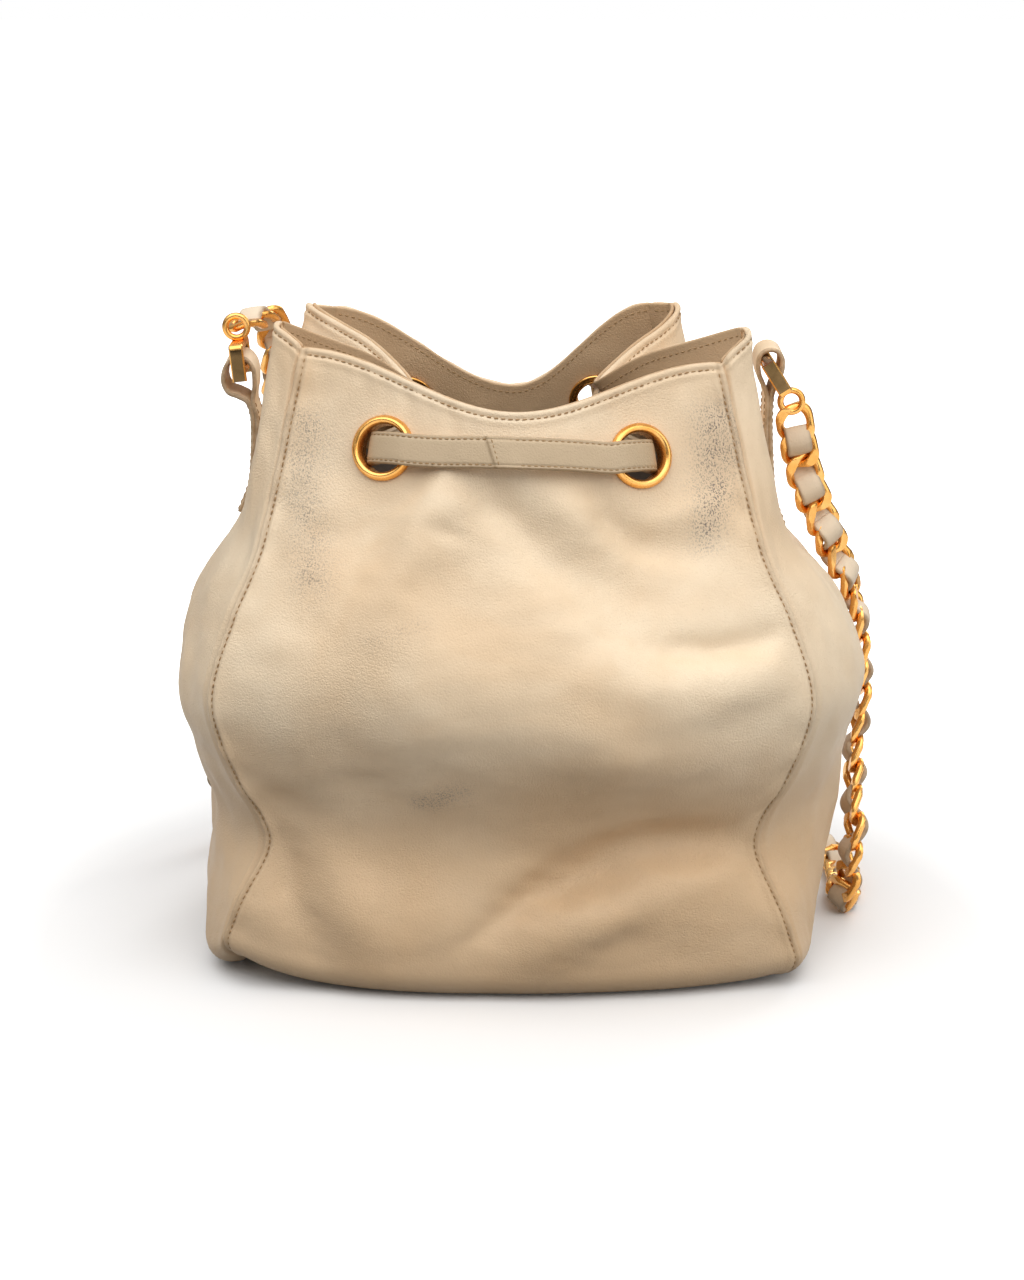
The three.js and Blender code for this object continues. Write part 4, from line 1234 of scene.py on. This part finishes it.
def link_parts(centre, along, face):
    """One flattened curb link."""
    theta = np.arange(LINK_STEPS) * 2 * np.pi / LINK_STEPS
    x, y = (np.sign(v) * np.abs(v) ** 0.86 for v in (np.cos(theta), np.sin(theta)))
    line = np.stack([LINK_LONG * x, LINK_WIDE * y, TWIST * np.sin(2 * theta)], -1)
    tangent = unit(np.roll(line, -1, 0) - np.roll(line, 1, 0))
    side = unit(np.cross(tangent, (0, 0, 1.0)))
    lift = np.cross(side, tangent)
    phi = (np.arange(WIRE_SIDES) * 2 * np.pi / WIRE_SIDES)[:, None]
    wire = (WIRE + WIRE_MORE * np.abs(np.sin(2 * theta)) ** 1.5)[:, None, None]
    rings = line[:, None] + wire * (np.cos(phi) * side[:, None] + np.sin(phi) * lift[:, None])
    rings[..., 2] = np.clip(rings[..., 2], -FACET, FACET)
    points = rings.reshape(-1, 3) @ np.stack([along, np.cross(face, along), face]) + centre
    return outward(points, tube_faces(LINK_STEPS, WIRE_SIDES, closed=True))


def strap_bodies(hand):
    """For each run of chain, the body it rides on."""
    owner = {node: body for body, nodes in frame["record"]["behaviour"]["bodies"].items() for node in nodes}
    return [owner[f"chain_{hand}_{i:02d}"] for i in range(1, RUNS + 1)]


def build_chain(hand):
    """One half of the strap: 13 runs of three curb links, with the lace woven through them."""
    knots, knot_faces = chain_line(hand)
    fine = np.linspace(0, 1, RUNS * RUN_STEPS + 1)
    line, face = curve_through(list(knots), fine), curve_through(list(knot_faces), fine)
    along = along_of(line)
    face = unit(face - np.sum(face * along, -1, keepdims=True) * along)
    rng = np.random.default_rng(17)
    bodies = strap_bodies(hand)
    for run in range(RUNS):
        parts = []
        for k in range(LINKS_PER_RUN):
            place = (run * LINKS_PER_RUN + k + 0.5) / (RUNS * LINKS_PER_RUN)
            i = int(mix(RING_TO_LINK / RUN, RUNS, place) * RUN_STEPS)
            ahead = unit(line[min(i + 14, len(line) - 1)] - line[max(i - 14, 0)])
            flat = face[i] - (face[i] @ ahead) * ahead
            tilt = unit(flat + 0.09 * rng.normal(0, 1) * np.cross(ahead, face[i]))
            link, faces = link_parts(line[i], ahead, tilt)
            parts.append((link + (0, 0, max(0.0, 0.1 - link[:, 2].min())), faces))
        links = make_object(f"curb_links_{hand}_{run + 1:02d}", *join_parts(parts), GOLD)
        sharpen(links, 38.0)
        settle(links, bodies[run], [f"chain_{hand}_{run + 1:02d}"])
    build_lace(hand, line, face, bodies)


def build_lace(hand, line, face, bodies):
    """A leather strip woven over and under the links, split where the strap's bodies meet."""
    share = np.arange(len(line)) / RUN_STEPS
    weave = np.cos(np.pi * (share * RUN + LACE_SHIFT) / LINK_PITCH)
    path = line + face * (LACE_LIFT * np.sign(weave) * np.abs(weave) ** 0.8)[:, None]
    wide = np.cross(face, along_of(line))
    path[:, 2] = np.maximum(path[:, 2], np.abs(wide[:, 2]) * LACE_WIDTH / 2 + LACE_THICK)
    section = band_section(LACE_WIDTH, LACE_THICK, dome=0.3)
    changes = [r for r in range(1, RUNS) if bodies[r] != bodies[r - 1]]
    reach = 1 / 3
    cuts = [LACE_FROM / RUN, *(v for r in changes for v in (r - reach, r + reach)), RUNS - 0.1]
    for k, (a, b) in enumerate(zip(cuts[:-1], cuts[1:])):
        pick = (share >= a - 1e-9) & (share <= b + 1e-9)
        wear = edge_wear(section, int(pick.sum()), 0.8, 0.7)
        strip = swept(path[pick], wide[pick], section)[:2]
        obj = leather_object(f"lace_{hand}_{k + 1:02d}", *strip, LACE_SKIN, wear)
        if k % 2:
            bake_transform(obj)
        else:
            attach(obj, bodies[int((a + b) / 2)])


# ---------- table, light and camera
def soft_light(name, place, aim, size, power, colour=WHITE):
    data = bpy.data.lights.new(name, "AREA")
    data.shape, data.size, data.size_y = "RECTANGLE", *size
    data.energy, data.color = power, colour
    lamp = bpy.data.objects.new(name, data)
    bpy.context.scene.collection.objects.link(lamp)
    lamp.location = place
    lamp.rotation_euler = (Vector(aim) - Vector(place)).to_track_quat("-Z", "Y").to_euler()


def build_stage():
    """A pale table that fades to plain white away from the bag, under one broad light and two weaker ones."""
    paper = Finish("pale_paper", Roughness=0.9, Specular_IOR_Level=0.1)
    path = paper.node("ShaderNodeLightPath").outputs
    seen = path["Is Camera Ray"]
    clear = paper.maths("MAXIMUM", seen, path["Is Glossy Ray"])
    paper.set(Base_Color=paper.blend(clear, (0.20, 0.195, 0.19), (0.93, 0.93, 0.93)))
    away = paper.node("ShaderNodeVectorMath", {0: paper.place}, operation="LENGTH").outputs["Value"]
    fade = paper.times(paper.ramp(away, 0.16, 0.42), seen)
    paper.set(Emission_Color=WHITE, Emission_Strength=fade)
    corners = [(x * 9e3, y * 9e3, 0) for x, y in ((-1, -1), (1, -1), (1, 1), (-1, 1))]
    make_object("table_top", corners, [(0, 1, 2, 3)], paper.material)
    build_sky()
    soft_light("overhead", (-0.15, -0.55, 1.1), (0, 0, 0.08), (1.7, 1.2), 11.5)
    soft_light("front_right", (1.1, -0.8, 0.6), (0, 0, 0.1), (1.3, 1.0), 5.4, (1, 0.98, 0.95))
    soft_light("back_rim", (0.6, 0.9, 0.8), (0, 0, 0.15), (0.6, 0.6), 3.0)


def build_sky():
    """White to the camera, and to everything else a soft sky: bright above, dim near the horizon and below."""
    world = bpy.data.worlds.new("studio")
    bpy.context.scene.world = world
    world.use_nodes = True
    sky = Nodes(world.node_tree)
    place = sky.node("ShaderNodeTexCoord").outputs["Generated"]
    height = sky.node("ShaderNodeSeparateXYZ", {0: place}).outputs["Z"]
    glow = sky.ramp(height, -0.1, 0.9, 0.12, 0.72, interpolation_type="SMOOTHSTEP")
    seen = sky.node("ShaderNodeLightPath").outputs["Is Camera Ray"]
    background = world.node_tree.nodes["Background"].inputs
    sky.feed(background["Strength"], sky.node("ShaderNodeMix", {0: seen, 2: glow, 3: 1.0}).outputs[0])
    sky.feed(background["Color"], WHITE)


def build_camera():
    """A long lens in front of the bag, looking down on it a little."""
    data = bpy.data.cameras.new("camera")
    data.sensor_fit, data.sensor_width, data.sensor_height, data.lens = "AUTO", 36, 36, 75.15
    data.clip_start, data.clip_end = 0.01, 50
    camera = bpy.data.objects.new("camera", data)
    bpy.context.scene.collection.objects.link(camera)
    target, distance, rise = Vector((0, 0, 0.1025)), 0.9, math.radians(15)
    camera.location = target + distance * Vector((0, -math.cos(rise), math.sin(rise)))
    camera.rotation_euler = (target - camera.location).to_track_quat("-Z", "Y").to_euler()
    bpy.context.scene.camera = camera


build_walls()
build_lining()
build_base()
build_seams()
build_eyelets()
build_drawstring()
for hand in HANDS:
    build_pull(hand)
    build_tab(hand)
    build_loop(hand)
    build_chain(hand)
build_stage()
build_camera()
bpy.context.scene.view_settings.view_transform = "Standard"
bpy.context.view_layer.update()
